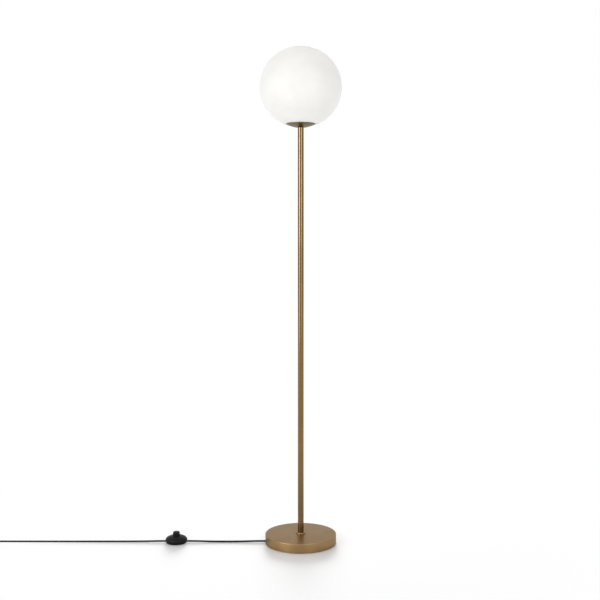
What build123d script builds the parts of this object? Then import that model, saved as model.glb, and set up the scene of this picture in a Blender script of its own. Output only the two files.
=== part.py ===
from build123d import *
from math import acos, asin, atan, cos, degrees, dist, pi, radians, sin, sqrt, tan
import os

os.makedirs("parts", exist_ok=True)

# A floor lamp: a glass globe on a brass cup, a slim pole, a heavy round base and a cord with a foot switch.
# The origin is on the floor under the middle of the base. +Z is up, the lamp is seen along +Y,
# and the cord leaves the base at -X. Every size is in millimetres.

# ---------------------------------------------------------------- driving sizes

# Fits and gaps.
push_fit = 0.05  # radial room of a pushed-in or screwed-in piece
seat_gap = 0.3  # room between pieces that lie near each other
run_gap = 0.3  # radial room round a piece that moves
floor_gap = 0.2  # height of the loose cord's underside

# Base.
base_r = 107.5
base_h = 28.0
cover_wall = 1.2
cover_lift = 0.8
cover_edge_r = 1.6
weight_gap = 0.4
weight_edge = 1.0
pad_t = 1.5
pad_inset = 3.5
recess_r = 24.0
roof_t = 3.8

# Threaded tube and its hardware.
stud_r = 5.0
stud_bore_r = 3.5
stud_in = 16.0
washer_r = 15.0
washer_t = 1.5
lock_r = 9.0
lock_t = 1.2
lock_slit = 1.5
nut_across = 14.0
nut_t = 4.0

# Pole and foot ring.
pole_r = 9.0
pole_wall = 1.2
pole_len = 1234.4
insert_len = 22.0
collar_r = 14.3
collar_h = 3.6
collar_round = 1.6

# Cup under the globe.
dish_r = 44.6
dish_wall = 1.2
dish_flat_r = 10.2
dish_rise = 10.4
dish_bow = 0.5
lip_h = 1.3
lip_w = 3.6
seat_t = 0.8
seat_inset = 0.3

# Spring that grips the globe.
arm_count = 3
arm_t = 0.8
arm_w = 10.0
arm_foot_r = 33.0
arm_lean = 3.5
arm_top = 13.0
arm_bend_r = 2.0
arm_first_angle = 90.0
dish_washer_r = 7.4
dish_washer_t = 1.0
dish_nut_t = 3.5

# Lamp holder.
nipple_in_holder = 8.0
neck_r = 8.0
neck_h = 6.0
holder_r = 19.0
holder_cap_h = 16.0
holder_wall = 2.2
holder_ledge = 1.2
holder_body_h = 36.0
block_t = 7.0
sleeve_bore_r = 13.45
sleeve_wall = 0.6
sleeve_h = 22.0
sleeve_flange_w = 1.4
contact_r = 4.5
contact_t = 0.8
contact_rise = 1.6
terminal_x = 9.5
terminal_screw_r = 2.0
terminal_shank_r = 1.2
terminal_head_t = 1.6

# Bulb.
tip_r = 4.5
tip_t = 1.4
insulator_h = 3.4
bulb_thread_r = 13.1
bulb_root_r = 12.3
bulb_thread_pitch = 3.6
bulb_thread_turns = 5
bulb_skirt_h = 3.0
bulb_neck_r = 13.8
bulb_body_r = 28.4
bulb_body_h = 38.0
bulb_wall = 1.6
board_t = 1.6
bulb_dome_r = 30.0
bulb_dome_h = 44.0

# Globe.
globe_r = 125.0
globe_half_h = 122.8
globe_foot_cut = 12.0
globe_wall = 3.0
globe_hole_r = 40.0
globe_shoulder_r = 20.0
globe_hole_edge = 0.8

# Cord.
cord_d = 5.2
bush_wall = 0.9
bush_tip_wall = 0.4
bush_len = 24.0
bush_proud = 0.8

# Foot switch.
switch_x = -378.6
switch_r = 32.8
switch_foot_r = 30.2
switch_belt_z = 9.5
switch_dome_h = 13.0
switch_wall = 2.0
switch_lift = 0.8
switch_plate_t = 2.2
button_r = 10.8
button_taper = 0.7
button_stand = 10.6
button_edge_r = 1.5
button_travel = 4.0
button_wall = 2.3
button_flange_w = 1.8
button_flange_t = 1.6
button_stem_r = 2.4
switch_block_w = 17.0
switch_block_l = 18.0
switch_block_h = 8.0
switch_spring_r = 5.6
switch_spring_wire = 0.9
switch_spring_turns = 5
terminal_l = 5.0
terminal_w = 4.6
terminal_h = 5.2
terminal_gap = 5.4
clamp_x = 21.0
clamp_w = 5.0
clamp_t = 1.2
clamp_screw_y = 6.4
clamp_boss_r = 2.3
small_screw_r = 1.1
small_head_r = 2.1
small_head_t = 1.1
cover_screw_y = 22.0
cover_boss_r = 3.0
cover_screw_len = 8.0
switch_pad_r = 4.0
switch_pad_place_r = 22.0
switch_pad_angle = 40.0

# Coil of the length that is put away.
coil_x = -979.0
coil_outer_r = 37.5
coil_pitch = 5.8
coil_layer_step = 5.7
coil_layer_turns = 2.75
coil_climb_turns = 0.5
tie_t = 0.7
tie_w = 6.0
tie_round = 2.4

# Plug.
tail_len = 48.0
boot_len = 24.0
boot_r = 5.2
boot_tip_r = 3.5
boot_grooves = 4
boot_groove_w = 1.4
boot_groove_depth = 0.7
plug_len = 33.0
plug_t = 13.7
plug_w = 35.3
plug_back_t = 11.0
plug_back_w = 13.0
plug_taper_len = 22.0
plug_corner_r = 3.0
pin_r = 2.0
pin_len = 19.0
pin_core_r = 1.6
pin_sleeve_r = 1.9
pin_sleeve_len = 10.0
pin_spacing = 18.6
pin_root = 8.0

# ---------------------------------------------------------------- sizes that follow from them

cord_r = cord_d / 2
cord_lie_z = cord_r + floor_gap
cord_exit_z = pad_t + cord_r + 2 * push_fit
bush_r = cord_r + bush_wall
bush_bore_r = cord_r + push_fit
bush_face_x = -(base_r + bush_proud)

weight_r = base_r - cover_wall - weight_gap
weight_top = base_h - cover_wall
recess_roof = weight_top - roof_t
washer_low = recess_roof - washer_t
lock_low = washer_low - lock_t
nut_low = lock_low - nut_t
stud_hole_r = stud_r + push_fit
groove_w = 2 * (bush_r + push_fit)
groove_roof = cord_exit_z + bush_r + push_fit
pad_r = base_r - pad_inset

pole_bore_r = pole_r - pole_wall
insert_r = pole_bore_r - push_fit
pole_top = base_h + pole_len

dish_floor = pole_top + dish_wall
rim_z = pole_top + dish_rise + lip_h
seat_in_r = dish_r - lip_w
globe_low = rim_z + seat_t
globe_mid_h = globe_half_h - globe_foot_cut
globe_mid_z = globe_low + globe_mid_h
spring_top = dish_floor + arm_t
dish_nut_low = spring_top + dish_washer_t
cap_low = dish_nut_low + dish_nut_t
cap_top = cap_low + holder_cap_h

ledge_in_r = holder_r - holder_wall - holder_ledge
holder_bore_r = holder_r - holder_wall
block_r = holder_bore_r - push_fit
block_top = cap_top + block_t
contact_top = block_top + contact_t + contact_rise

tip_low = contact_top + seat_gap
insulator_low = tip_low + tip_t
bulb_cap_low = insulator_low + insulator_h
bulb_skirt_low = bulb_cap_low + bulb_thread_turns * bulb_thread_pitch
bulb_body_low = bulb_skirt_low + bulb_skirt_h
board_low = bulb_body_low + bulb_body_h
dome_low = board_low + board_t

switch_top_z = switch_belt_z + switch_dome_h
plate_top = switch_lift + switch_plate_t
switch_block_top = plate_top + switch_block_h
button_hole_r = button_r + run_gap


def dome_z(radius, inset):
    """Height of the switch dome at a radius, with the wall taken off it when inset is the wall."""
    share = radius / (switch_r - inset)
    return switch_belt_z + (switch_dome_h - inset) * sqrt(1 - share**2)


def bowl_z(radius):
    """Height of the cup's outer face at a radius, between its flat and its rim."""
    share = (radius - dish_flat_r) / (dish_r - dish_flat_r)
    return pole_top + dish_rise * ((1 - dish_bow) * share + dish_bow * share**2)


# ---------------------------------------------------------------- base

with BuildPart() as base_cover:
    with BuildSketch(Plane.XY.offset(cover_lift)):
        Circle(base_r)
    extrude(amount=base_h - cover_lift)
    fillet(base_cover.edges().sort_by(Axis.Z)[-1], cover_edge_r)
    with BuildSketch(Plane.XY.offset(cover_lift)):
        Circle(base_r - cover_wall)
    extrude(amount=weight_top - cover_lift, mode=Mode.SUBTRACT)
    with BuildSketch(Plane.XY.offset(weight_top)):
        Circle(stud_hole_r)
    extrude(amount=cover_wall, mode=Mode.SUBTRACT)
    with BuildSketch(Plane.YZ.offset(-base_r - cover_wall)):
        with Locations((0, cord_exit_z)):
            Circle(groove_w / 2)
        with Locations((0, cord_exit_z / 2)):
            Rectangle(groove_w, cord_exit_z)
    extrude(amount=3 * cover_wall, mode=Mode.SUBTRACT)
base_cover.part.label = "base_cover"
export_step(base_cover.part, "parts/base_cover.step")

with BuildPart() as base_weight:
    with BuildSketch(Plane.XY.offset(pad_t)):
        Circle(weight_r)
    extrude(amount=weight_top - pad_t)
    chamfer(base_weight.edges().filter_by(GeomType.CIRCLE), weight_edge)
    with BuildSketch(Plane.XY.offset(pad_t)):
        Circle(recess_r)
    extrude(amount=recess_roof - pad_t, mode=Mode.SUBTRACT)
    with BuildSketch(Plane.XY.offset(recess_roof)):
        Circle(stud_hole_r)
    extrude(amount=roof_t, mode=Mode.SUBTRACT)
    with BuildSketch(Plane.XY.offset(pad_t)):
        with Locations((-base_r / 2, 0)):
            Rectangle(base_r, groove_w)
    extrude(amount=groove_roof - pad_t, mode=Mode.SUBTRACT)
base_weight.part.label = "base_weight"
export_step(base_weight.part, "parts/base_weight.step")

with BuildPart() as base_pad:
    with BuildSketch():
        Circle(pad_r)
        with Locations((bush_face_x + bush_len / 2, 0)):
            Rectangle(bush_len + 2 * seat_gap, groove_w, mode=Mode.SUBTRACT)
    extrude(amount=pad_t)
base_pad.part.label = "base_pad"
export_step(base_pad.part, "parts/base_pad.step")

with BuildPart() as base_washer:
    with BuildSketch(Plane.XY.offset(washer_low)):
        Circle(washer_r)
        Circle(stud_hole_r, mode=Mode.SUBTRACT)
    extrude(amount=washer_t)
base_washer.part.label = "base_washer"
export_step(base_washer.part, "parts/base_washer.step")

with BuildPart() as base_lock_washer:
    with BuildSketch(Plane.XY.offset(lock_low)):
        Circle(lock_r)
        Circle(stud_hole_r, mode=Mode.SUBTRACT)
        with Locations((lock_r, 0)):
            Rectangle(2 * lock_r, lock_slit, mode=Mode.SUBTRACT)
    extrude(amount=lock_t)
base_lock_washer.part.label = "base_lock_washer"
export_step(base_lock_washer.part, "parts/base_lock_washer.step")

with BuildPart() as base_nut:
    with BuildSketch(Plane.XY.offset(nut_low)):
        RegularPolygon(nut_across / 2, 6, major_radius=False)
        Circle(stud_hole_r, mode=Mode.SUBTRACT)
    extrude(amount=nut_t)
base_nut.part.label = "base_nut"
export_step(base_nut.part, "parts/base_nut.step")

with BuildPart() as base_stud:
    with BuildSketch(Plane.XY.offset(nut_low)):
        Circle(stud_r)
        Circle(stud_bore_r, mode=Mode.SUBTRACT)
    extrude(amount=base_h + stud_in - nut_low)
base_stud.part.label = "base_stud"
export_step(base_stud.part, "parts/base_stud.step")

with BuildPart() as cord_exit_bush:
    with BuildSketch(Plane.XZ):
        with BuildLine():
            Polyline(
                (bush_face_x, cord_exit_z + bush_bore_r),
                (bush_face_x, cord_exit_z + bush_r),
                (bush_face_x + bush_len / 3, cord_exit_z + bush_r),
                (bush_face_x + bush_len, cord_exit_z + bush_bore_r + bush_tip_wall),
                (bush_face_x + bush_len, cord_exit_z + bush_bore_r),
                close=True,
            )
        make_face()
    revolve(axis=Axis((bush_face_x, 0, cord_exit_z), (1, 0, 0)))
cord_exit_bush.part.label = "cord_exit_bush"
export_step(cord_exit_bush.part, "parts/cord_exit_bush.step")

# ---------------------------------------------------------------- pole

with BuildPart() as pole_tube:
    with BuildSketch(Plane.XY.offset(base_h)):
        Circle(pole_r)
        Circle(pole_bore_r, mode=Mode.SUBTRACT)
    extrude(amount=pole_len)
pole_tube.part.label = "pole_tube"
export_step(pole_tube.part, "parts/pole_tube.step")

with BuildPart() as pole_collar:
    with BuildSketch(Plane.XY.offset(base_h)):
        Circle(collar_r)
        Circle(pole_r + push_fit, mode=Mode.SUBTRACT)
    extrude(amount=collar_h)
    collar_edges = pole_collar.edges().filter_by(GeomType.CIRCLE).sort_by(SortBy.RADIUS)[-2:]
    fillet(collar_edges, collar_round)
pole_collar.part.label = "pole_collar"
export_step(pole_collar.part, "parts/pole_collar.step")

with BuildPart() as pole_foot_insert:
    with BuildSketch(Plane.XY.offset(base_h)):
        Circle(insert_r)
        Circle(stud_hole_r, mode=Mode.SUBTRACT)
    extrude(amount=insert_len)
pole_foot_insert.part.label = "pole_foot_insert"
export_step(pole_foot_insert.part, "parts/pole_foot_insert.step")

with BuildPart() as pole_top_insert:
    with BuildSketch(Plane.XY.offset(pole_top)):
        Circle(insert_r)
        Circle(stud_hole_r, mode=Mode.SUBTRACT)
    extrude(amount=-insert_len)
pole_top_insert.part.label = "pole_top_insert"
export_step(pole_top_insert.part, "parts/pole_top_insert.step")

with BuildPart() as head_nipple:
    with BuildSketch(Plane.XY.offset(pole_top - stud_in)):
        Circle(stud_r)
        Circle(stud_bore_r, mode=Mode.SUBTRACT)
    extrude(amount=cap_low + nipple_in_holder - pole_top + stud_in)
head_nipple.part.label = "head_nipple"
export_step(head_nipple.part, "parts/head_nipple.step")

# ---------------------------------------------------------------- cup, spring and seat of the globe

outer_mid_r = (dish_flat_r + dish_r) / 2
inner_mid_r = (dish_flat_r + seat_in_r) / 2

with BuildPart() as globe_dish:
    with BuildSketch(Plane.XZ):
        with BuildLine():
            Line((stud_hole_r, pole_top), (dish_flat_r, pole_top))
            ThreePointArc(
                (dish_flat_r, pole_top),
                (outer_mid_r, bowl_z(outer_mid_r)),
                (dish_r, bowl_z(dish_r)),
            )
            Line((dish_r, bowl_z(dish_r)), (dish_r, rim_z))
            Line((dish_r, rim_z), (seat_in_r, rim_z))
            Line((seat_in_r, rim_z), (seat_in_r, bowl_z(seat_in_r) + dish_wall))
            ThreePointArc(
                (seat_in_r, bowl_z(seat_in_r) + dish_wall),
                (inner_mid_r, bowl_z(inner_mid_r) + dish_wall),
                (dish_flat_r, dish_floor),
            )
            Line((dish_flat_r, dish_floor), (stud_hole_r, dish_floor))
            Line((stud_hole_r, dish_floor), (stud_hole_r, pole_top))
        make_face()
    revolve(axis=Axis.Z)
    rim_edges = globe_dish.edges().filter_by(GeomType.CIRCLE).filter_by_position(Axis.Z, rim_z, rim_z)
    fillet(rim_edges.sort_by(SortBy.RADIUS)[-1], min(lip_h, dish_wall) / 2)
globe_dish.part.label = "globe_dish"
export_step(globe_dish.part, "parts/globe_dish.step")

arm_mid_z = dish_floor + arm_t / 2
arm_foot_z = bowl_z(arm_foot_r) + dish_wall + arm_t
arm_grip_r = sqrt((globe_hole_r - run_gap) ** 2 - (arm_w / 2) ** 2) - arm_t / 2
arm_bend_x = sqrt(dish_flat_r**2 - (arm_w / 2) ** 2) - arm_t

with BuildPart() as spring_arm:
    with BuildSketch(Plane.XZ):
        with BuildLine():
            FilletPolyline(
                (stud_r + arm_t, arm_mid_z),
                (arm_bend_x, arm_mid_z),
                (arm_foot_r, arm_foot_z),
                (arm_grip_r, globe_low - arm_t),
                (arm_grip_r, globe_low + globe_wall + arm_t),
                (arm_grip_r - arm_lean, globe_low + arm_top),
                radius=arm_bend_r,
            )
        trace(line_width=arm_t)
    extrude(amount=arm_w / 2, both=True)

with BuildPart() as globe_spring:
    with PolarLocations(0, arm_count, start_angle=arm_first_angle):
        add(spring_arm.part)
    with BuildSketch(Plane.XY.offset(dish_floor)):
        Circle(dish_flat_r - arm_t)
    extrude(amount=arm_t)
    with BuildSketch(Plane.XY.offset(dish_floor)):
        Circle(stud_hole_r)
    extrude(amount=arm_t, mode=Mode.SUBTRACT)
globe_spring.part.label = "globe_spring"
export_step(globe_spring.part, "parts/globe_spring.step")

with BuildPart() as dish_washer:
    with BuildSketch(Plane.XY.offset(spring_top)):
        Circle(dish_washer_r)
        Circle(stud_hole_r, mode=Mode.SUBTRACT)
    extrude(amount=dish_washer_t)
dish_washer.part.label = "dish_washer"
export_step(dish_washer.part, "parts/dish_washer.step")

with BuildPart() as dish_nut:
    with BuildSketch(Plane.XY.offset(dish_nut_low)):
        RegularPolygon(nut_across / 2, 6, major_radius=False)
        Circle(stud_hole_r, mode=Mode.SUBTRACT)
    extrude(amount=dish_nut_t)
dish_nut.part.label = "dish_nut"
export_step(dish_nut.part, "parts/dish_nut.step")

with BuildPart() as globe_seat_ring:
    with BuildSketch(Plane.XY.offset(rim_z)):
        Circle(dish_r - seat_inset)
        Circle(seat_in_r + seat_inset, mode=Mode.SUBTRACT)
    extrude(amount=seat_t)
globe_seat_ring.part.label = "globe_seat_ring"
export_step(globe_seat_ring.part, "parts/globe_seat_ring.step")

# ---------------------------------------------------------------- lamp holder

cavity_low = cap_low + nipple_in_holder
cavity_low_r = neck_r - holder_wall

with BuildPart() as lampholder_cap:
    with BuildSketch(Plane.XZ):
        with BuildLine():
            Line((0, cap_low), (neck_r, cap_low))
            Line((neck_r, cap_low), (neck_r, cap_low + neck_h))
            TangentArc((holder_r, cap_top), (neck_r, cap_low + neck_h), tangent=(0, -1))
            Line((holder_r, cap_top), (0, cap_top))
            Line((0, cap_top), (0, cap_low))
        make_face()
    revolve(axis=Axis.Z)
    with BuildSketch(Plane.XZ):
        with BuildLine():
            Line((0, cavity_low), (cavity_low_r, cavity_low))
            TangentArc((ledge_in_r, cap_top), (cavity_low_r, cavity_low), tangent=(0, -1))
            Line((ledge_in_r, cap_top), (0, cap_top))
            Line((0, cap_top), (0, cavity_low))
        make_face()
    revolve(axis=Axis.Z, mode=Mode.SUBTRACT)
    with BuildSketch(Plane.XY.offset(cap_low)):
        Circle(stud_hole_r)
    extrude(amount=nipple_in_holder, mode=Mode.SUBTRACT)
lampholder_cap.part.label = "lampholder_cap"
export_step(lampholder_cap.part, "parts/lampholder_cap.step")

with BuildPart() as lampholder_body:
    with BuildSketch(Plane.XY.offset(cap_top)):
        Circle(holder_r)
        Circle(holder_bore_r, mode=Mode.SUBTRACT)
    extrude(amount=holder_body_h)
    top_edges = lampholder_body.edges().group_by(Axis.Z)[-1]
    fillet(top_edges, holder_wall / 3)
lampholder_body.part.label = "lampholder_body"
export_step(lampholder_body.part, "parts/lampholder_body.step")

with BuildPart() as lampholder_block:
    with BuildSketch(Plane.XY.offset(cap_top)):
        Circle(block_r)
        with Locations((terminal_x, 0), (-terminal_x, 0)):
            Circle(terminal_shank_r + push_fit, mode=Mode.SUBTRACT)
    extrude(amount=block_t)
lampholder_block.part.label = "lampholder_block"
export_step(lampholder_block.part, "parts/lampholder_block.step")

with BuildPart() as lampholder_screws:
    with BuildSketch(Plane.XY.offset(cap_top)):
        with Locations((terminal_x, 0), (-terminal_x, 0)):
            Circle(terminal_screw_r)
    extrude(amount=-terminal_head_t)
    with BuildSketch(Plane.XY.offset(cap_top)):
        with Locations((terminal_x, 0), (-terminal_x, 0)):
            Circle(terminal_shank_r)
    extrude(amount=block_t)
lampholder_screws.part.label = "lampholder_screws"
export_step(lampholder_screws.part, "parts/lampholder_screws.step")

with BuildPart() as lampholder_sleeve:
    with BuildSketch(Plane.XY.offset(block_top)):
        Circle(sleeve_bore_r + sleeve_wall)
        Circle(sleeve_bore_r, mode=Mode.SUBTRACT)
    extrude(amount=sleeve_h)
    with BuildSketch(Plane.XY.offset(block_top)):
        Circle(sleeve_bore_r + sleeve_wall + sleeve_flange_w)
        Circle(sleeve_bore_r, mode=Mode.SUBTRACT)
    extrude(amount=sleeve_wall)
lampholder_sleeve.part.label = "lampholder_sleeve"
export_step(lampholder_sleeve.part, "parts/lampholder_sleeve.step")

with BuildPart() as lampholder_contact:
    with BuildSketch(Plane.XY.offset(block_top)):
        Circle(contact_r)
    extrude(amount=contact_t)
    with BuildSketch(Plane.XY.offset(block_top + contact_t)):
        Circle(contact_r / 2)
    extrude(amount=contact_rise, taper=20)
lampholder_contact.part.label = "lampholder_contact"
export_step(lampholder_contact.part, "parts/lampholder_contact.step")

# ---------------------------------------------------------------- bulb

with BuildPart() as bulb_contact:
    with BuildSketch(Plane.XY.offset(tip_low)):
        Circle(tip_r)
    extrude(amount=tip_t)
    fillet(bulb_contact.edges().sort_by(Axis.Z)[0], tip_t / 2)
bulb_contact.part.label = "bulb_contact"
export_step(bulb_contact.part, "parts/bulb_contact.step")

with BuildPart() as bulb_insulator:
    with BuildSketch(Plane.XY.offset(insulator_low)):
        Circle(tip_r + sleeve_wall)
    with BuildSketch(Plane.XY.offset(bulb_cap_low)):
        Circle(bulb_root_r - sleeve_wall)
    loft()
bulb_insulator.part.label = "bulb_insulator"
export_step(bulb_insulator.part, "parts/bulb_insulator.step")

with BuildPart() as bulb_cap:
    with BuildSketch(Plane.XZ):
        with BuildLine():
            Line((0, bulb_cap_low), (bulb_root_r, bulb_cap_low))
            for turn in range(bulb_thread_turns):
                rib_z = bulb_cap_low + turn * bulb_thread_pitch
                ThreePointArc(
                    (bulb_root_r, rib_z),
                    (bulb_thread_r, rib_z + bulb_thread_pitch / 2),
                    (bulb_root_r, rib_z + bulb_thread_pitch),
                )
            Line((bulb_root_r, bulb_skirt_low), (bulb_thread_r, bulb_skirt_low))
            Line((bulb_thread_r, bulb_skirt_low), (bulb_thread_r, bulb_body_low))
            Line((bulb_thread_r, bulb_body_low), (0, bulb_body_low))
            Line((0, bulb_body_low), (0, bulb_cap_low))
        make_face()
    revolve(axis=Axis.Z)
bulb_cap.part.label = "bulb_cap"
export_step(bulb_cap.part, "parts/bulb_cap.step")

with BuildPart() as bulb_body:
    with BuildSketch(Plane.XZ):
        with BuildLine():
            Line((0, bulb_body_low), (bulb_neck_r, bulb_body_low))
            TangentArc((bulb_body_r, board_low), (bulb_neck_r, bulb_body_low), tangent=(0, -1))
            Line((bulb_body_r, board_low), (bulb_body_r - bulb_wall, board_low))
            TangentArc(
                (bulb_body_r - bulb_wall, board_low),
                (bulb_neck_r - bulb_wall, bulb_body_low + bulb_wall),
                tangent=(0, -1),
            )
            Line((bulb_neck_r - bulb_wall, bulb_body_low + bulb_wall), (0, bulb_body_low + bulb_wall))
            Line((0, bulb_body_low + bulb_wall), (0, bulb_body_low))
        make_face()
    revolve(axis=Axis.Z)
bulb_body.part.label = "bulb_body"
export_step(bulb_body.part, "parts/bulb_body.step")

with BuildPart() as bulb_board:
    with BuildSketch(Plane.XY.offset(board_low)):
        Circle(bulb_body_r)
    extrude(amount=board_t)
bulb_board.part.label = "bulb_board"
export_step(bulb_board.part, "parts/bulb_board.step")

dome_angle = degrees(acos(bulb_body_r / bulb_dome_r))
dome_half_h = bulb_dome_h / (1 + sin(radians(dome_angle)))
dome_wide_z = dome_low + bulb_dome_h - dome_half_h
inner_dome_half_h = dome_half_h - bulb_wall
inner_dome_angle = degrees(asin((dome_wide_z - dome_low) / inner_dome_half_h))

with BuildPart() as bulb_dome:
    with BuildSketch(Plane.XZ):
        with BuildLine():
            dome_out = EllipticalCenterArc(
                (0, dome_wide_z), bulb_dome_r, dome_half_h, -dome_angle, arc_size=90 + dome_angle
            )
            Line((0, dome_wide_z + dome_half_h), (0, dome_wide_z + inner_dome_half_h))
            dome_in = EllipticalCenterArc(
                (0, dome_wide_z),
                bulb_dome_r - bulb_wall,
                inner_dome_half_h,
                90,
                arc_size=-90 - inner_dome_angle,
            )
            Line(dome_in @ 1, dome_out @ 0)
        make_face()
    revolve(axis=Axis.Z)
bulb_dome.part.label = "bulb_dome"
export_step(bulb_dome.part, "parts/bulb_dome.step")

# ---------------------------------------------------------------- globe

inner_globe_r = globe_r - globe_wall
inner_half_h = globe_half_h - globe_wall
globe_flat_angle = degrees(asin(globe_mid_h / globe_half_h))
inner_flat_angle = degrees(asin((globe_mid_h - globe_wall) / inner_half_h))

with BuildPart() as globe:
    with BuildSketch(Plane.XZ):
        with BuildLine():
            outside = EllipticalCenterArc(
                (0, globe_mid_z), globe_r, globe_half_h, -globe_flat_angle, arc_size=90 + globe_flat_angle
            )
            Line((0, globe_mid_z + globe_half_h), (0, globe_mid_z + inner_half_h))
            inside = EllipticalCenterArc(
                (0, globe_mid_z), inner_globe_r, inner_half_h, 90, arc_size=-90 - inner_flat_angle
            )
            Line(inside @ 1, (globe_hole_r, globe_low + globe_wall))
            Line((globe_hole_r, globe_low + globe_wall), (globe_hole_r, globe_low))
            Line((globe_hole_r, globe_low), outside @ 0)
        make_face()
    revolve(axis=Axis.Z)
    bottom_edges = globe.edges().filter_by(GeomType.CIRCLE).group_by(Axis.Z)[0]
    fillet(bottom_edges.sort_by(SortBy.RADIUS)[-1], globe_shoulder_r)
    hole_edges = globe.edges().filter_by(GeomType.CIRCLE).sort_by(SortBy.RADIUS)[:2]
    fillet(hole_edges, globe_hole_edge)
globe.part.label = "globe"
export_step(globe.part, "parts/globe.step")

# ---------------------------------------------------------------- cord inside the base and the pole

bend_r = nut_low - cord_exit_z

with BuildPart() as inner_cord:
    with BuildLine():
        Line((bush_face_x, 0, cord_exit_z), (-bend_r, 0, cord_exit_z))
        TangentArc((-bend_r, 0, cord_exit_z), (0, 0, nut_low), tangent=(1, 0, 0))
        Line((0, 0, nut_low), (0, 0, cap_top))
    with BuildSketch(Plane.YZ.offset(bush_face_x)):
        with Locations((0, cord_exit_z)):
            Circle(cord_r)
    sweep()
inner_cord.part.label = "inner_cord"
export_step(inner_cord.part, "parts/inner_cord.step")

# ---------------------------------------------------------------- foot switch

cord_end_x = switch_block_w / 2 + terminal_l
clamp_low = cord_exit_z + bush_bore_r
clamp_top = clamp_low + clamp_t
screw_hole_r = small_screw_r + push_fit
plate_r = switch_foot_r - switch_wall
terminal_top = plate_top + terminal_h
button_flange_r = button_r + button_flange_w
button_low = dome_z(button_flange_r, switch_wall) - seat_gap - button_flange_t
button_top = switch_top_z + button_stand
button_ceiling = button_top - button_wall
stem_low = plate_top + button_travel + seat_gap
switch_floor = Plane((switch_x, 0, 0))
switch_side = Plane(origin=(switch_x, 0, 0), x_dir=(1, 0, 0), z_dir=(0, -1, 0))
switch_end = Plane(origin=(switch_x, 0, 0), x_dir=(0, 1, 0), z_dir=(1, 0, 0))
switch_axis = Axis((switch_x, 0, 0), (0, 0, 1))
terminal_x_mid = (switch_block_w + terminal_l) / 2
terminal_places = [(side * terminal_x_mid, end * terminal_gap / 2) for side in (-1, 1) for end in (-1, 1)]
clamp_screw_places = [(side * clamp_x, end * clamp_screw_y) for side in (-1, 1) for end in (-1, 1)]

with BuildPart() as switch_cavity:
    with BuildSketch(switch_side):
        with BuildLine():
            Line((0, switch_lift), (plate_r, switch_lift))
            TangentArc((switch_r - switch_wall, switch_belt_z), (plate_r, switch_lift), tangent=(0, -1))
            EllipticalCenterArc(
                (0, switch_belt_z), switch_r - switch_wall, switch_dome_h - switch_wall, arc_size=90
            )
            Line((0, switch_top_z - switch_wall), (0, switch_lift))
        make_face()
    revolve(axis=switch_axis)
    with BuildSketch(switch_floor.offset(plate_top)):
        with Locations((0, cover_screw_y), (0, -cover_screw_y)):
            Circle(cover_boss_r)
            Circle(screw_hole_r, mode=Mode.SUBTRACT)
    extrude(amount=switch_top_z - plate_top, mode=Mode.SUBTRACT)

with BuildPart() as switch_cover:
    with BuildSketch(switch_side):
        with BuildLine():
            Line((0, switch_lift), (switch_foot_r, switch_lift))
            TangentArc((switch_r, switch_belt_z), (switch_foot_r, switch_lift), tangent=(0, -1))
            EllipticalCenterArc((0, switch_belt_z), switch_r, switch_dome_h, arc_size=90)
            Line((0, switch_top_z), (0, switch_lift))
        make_face()
    revolve(axis=switch_axis)
    add(switch_cavity.part, mode=Mode.SUBTRACT)
    with BuildSketch(switch_floor.offset(switch_belt_z)):
        Circle(button_hole_r)
    extrude(amount=switch_dome_h, mode=Mode.SUBTRACT)
    with BuildSketch(switch_end):
        with Locations((0, cord_exit_z)):
            Circle(bush_bore_r)
        with Locations((0, cord_exit_z / 2)):
            Rectangle(2 * bush_bore_r, cord_exit_z)
    extrude(amount=switch_r, both=True, mode=Mode.SUBTRACT)
switch_cover.part.label = "switch_cover"
export_step(switch_cover.part, "parts/switch_cover.step")

with BuildPart() as switch_bottom:
    with BuildSketch(switch_floor.offset(switch_lift)):
        Circle(plate_r - push_fit)
    extrude(amount=switch_plate_t)
    with BuildSketch(switch_floor.offset(plate_top)):
        with Locations(*clamp_screw_places):
            Circle(clamp_boss_r)
    extrude(amount=clamp_low - plate_top)
    with BuildSketch(switch_floor.offset(clamp_low)):
        with Locations(*clamp_screw_places):
            Circle(screw_hole_r)
    extrude(amount=switch_lift + small_head_t - clamp_low, mode=Mode.SUBTRACT)
    with BuildSketch(switch_floor.offset(plate_top)):
        for side in (-1, 1):
            with Locations((side * (cord_end_x + switch_r / 2), 0)):
                Rectangle(switch_r, 2 * bush_bore_r)
    extrude(amount=cord_exit_z - bush_bore_r - plate_top, mode=Mode.SUBTRACT)
    with BuildSketch(switch_floor.offset(switch_lift)):
        with Locations((0, cover_screw_y), (0, -cover_screw_y)):
            Circle(small_head_r + push_fit)
    extrude(amount=small_head_t, mode=Mode.SUBTRACT)
    with BuildSketch(switch_floor.offset(switch_lift)):
        with Locations((0, cover_screw_y), (0, -cover_screw_y)):
            Circle(screw_hole_r)
    extrude(amount=switch_plate_t, mode=Mode.SUBTRACT)
switch_bottom.part.label = "switch_bottom"
export_step(switch_bottom.part, "parts/switch_bottom.step")

with BuildPart() as switch_cover_screws:
    with BuildSketch(switch_floor.offset(switch_lift)):
        with Locations((0, cover_screw_y), (0, -cover_screw_y)):
            Circle(small_head_r)
    extrude(amount=small_head_t)
    with BuildSketch(switch_floor.offset(switch_lift + small_head_t)):
        with Locations((0, cover_screw_y), (0, -cover_screw_y)):
            Circle(small_screw_r)
    extrude(amount=cover_screw_len)
switch_cover_screws.part.label = "switch_cover_screws"
export_step(switch_cover_screws.part, "parts/switch_cover_screws.step")

with BuildPart() as switch_feet:
    with BuildSketch(switch_floor):
        for angle in (switch_pad_angle, 180 - switch_pad_angle):
            with PolarLocations(switch_pad_place_r, 2, start_angle=angle):
                Circle(switch_pad_r)
    extrude(amount=switch_lift)
switch_feet.part.label = "switch_feet"
export_step(switch_feet.part, "parts/switch_feet.step")

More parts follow.
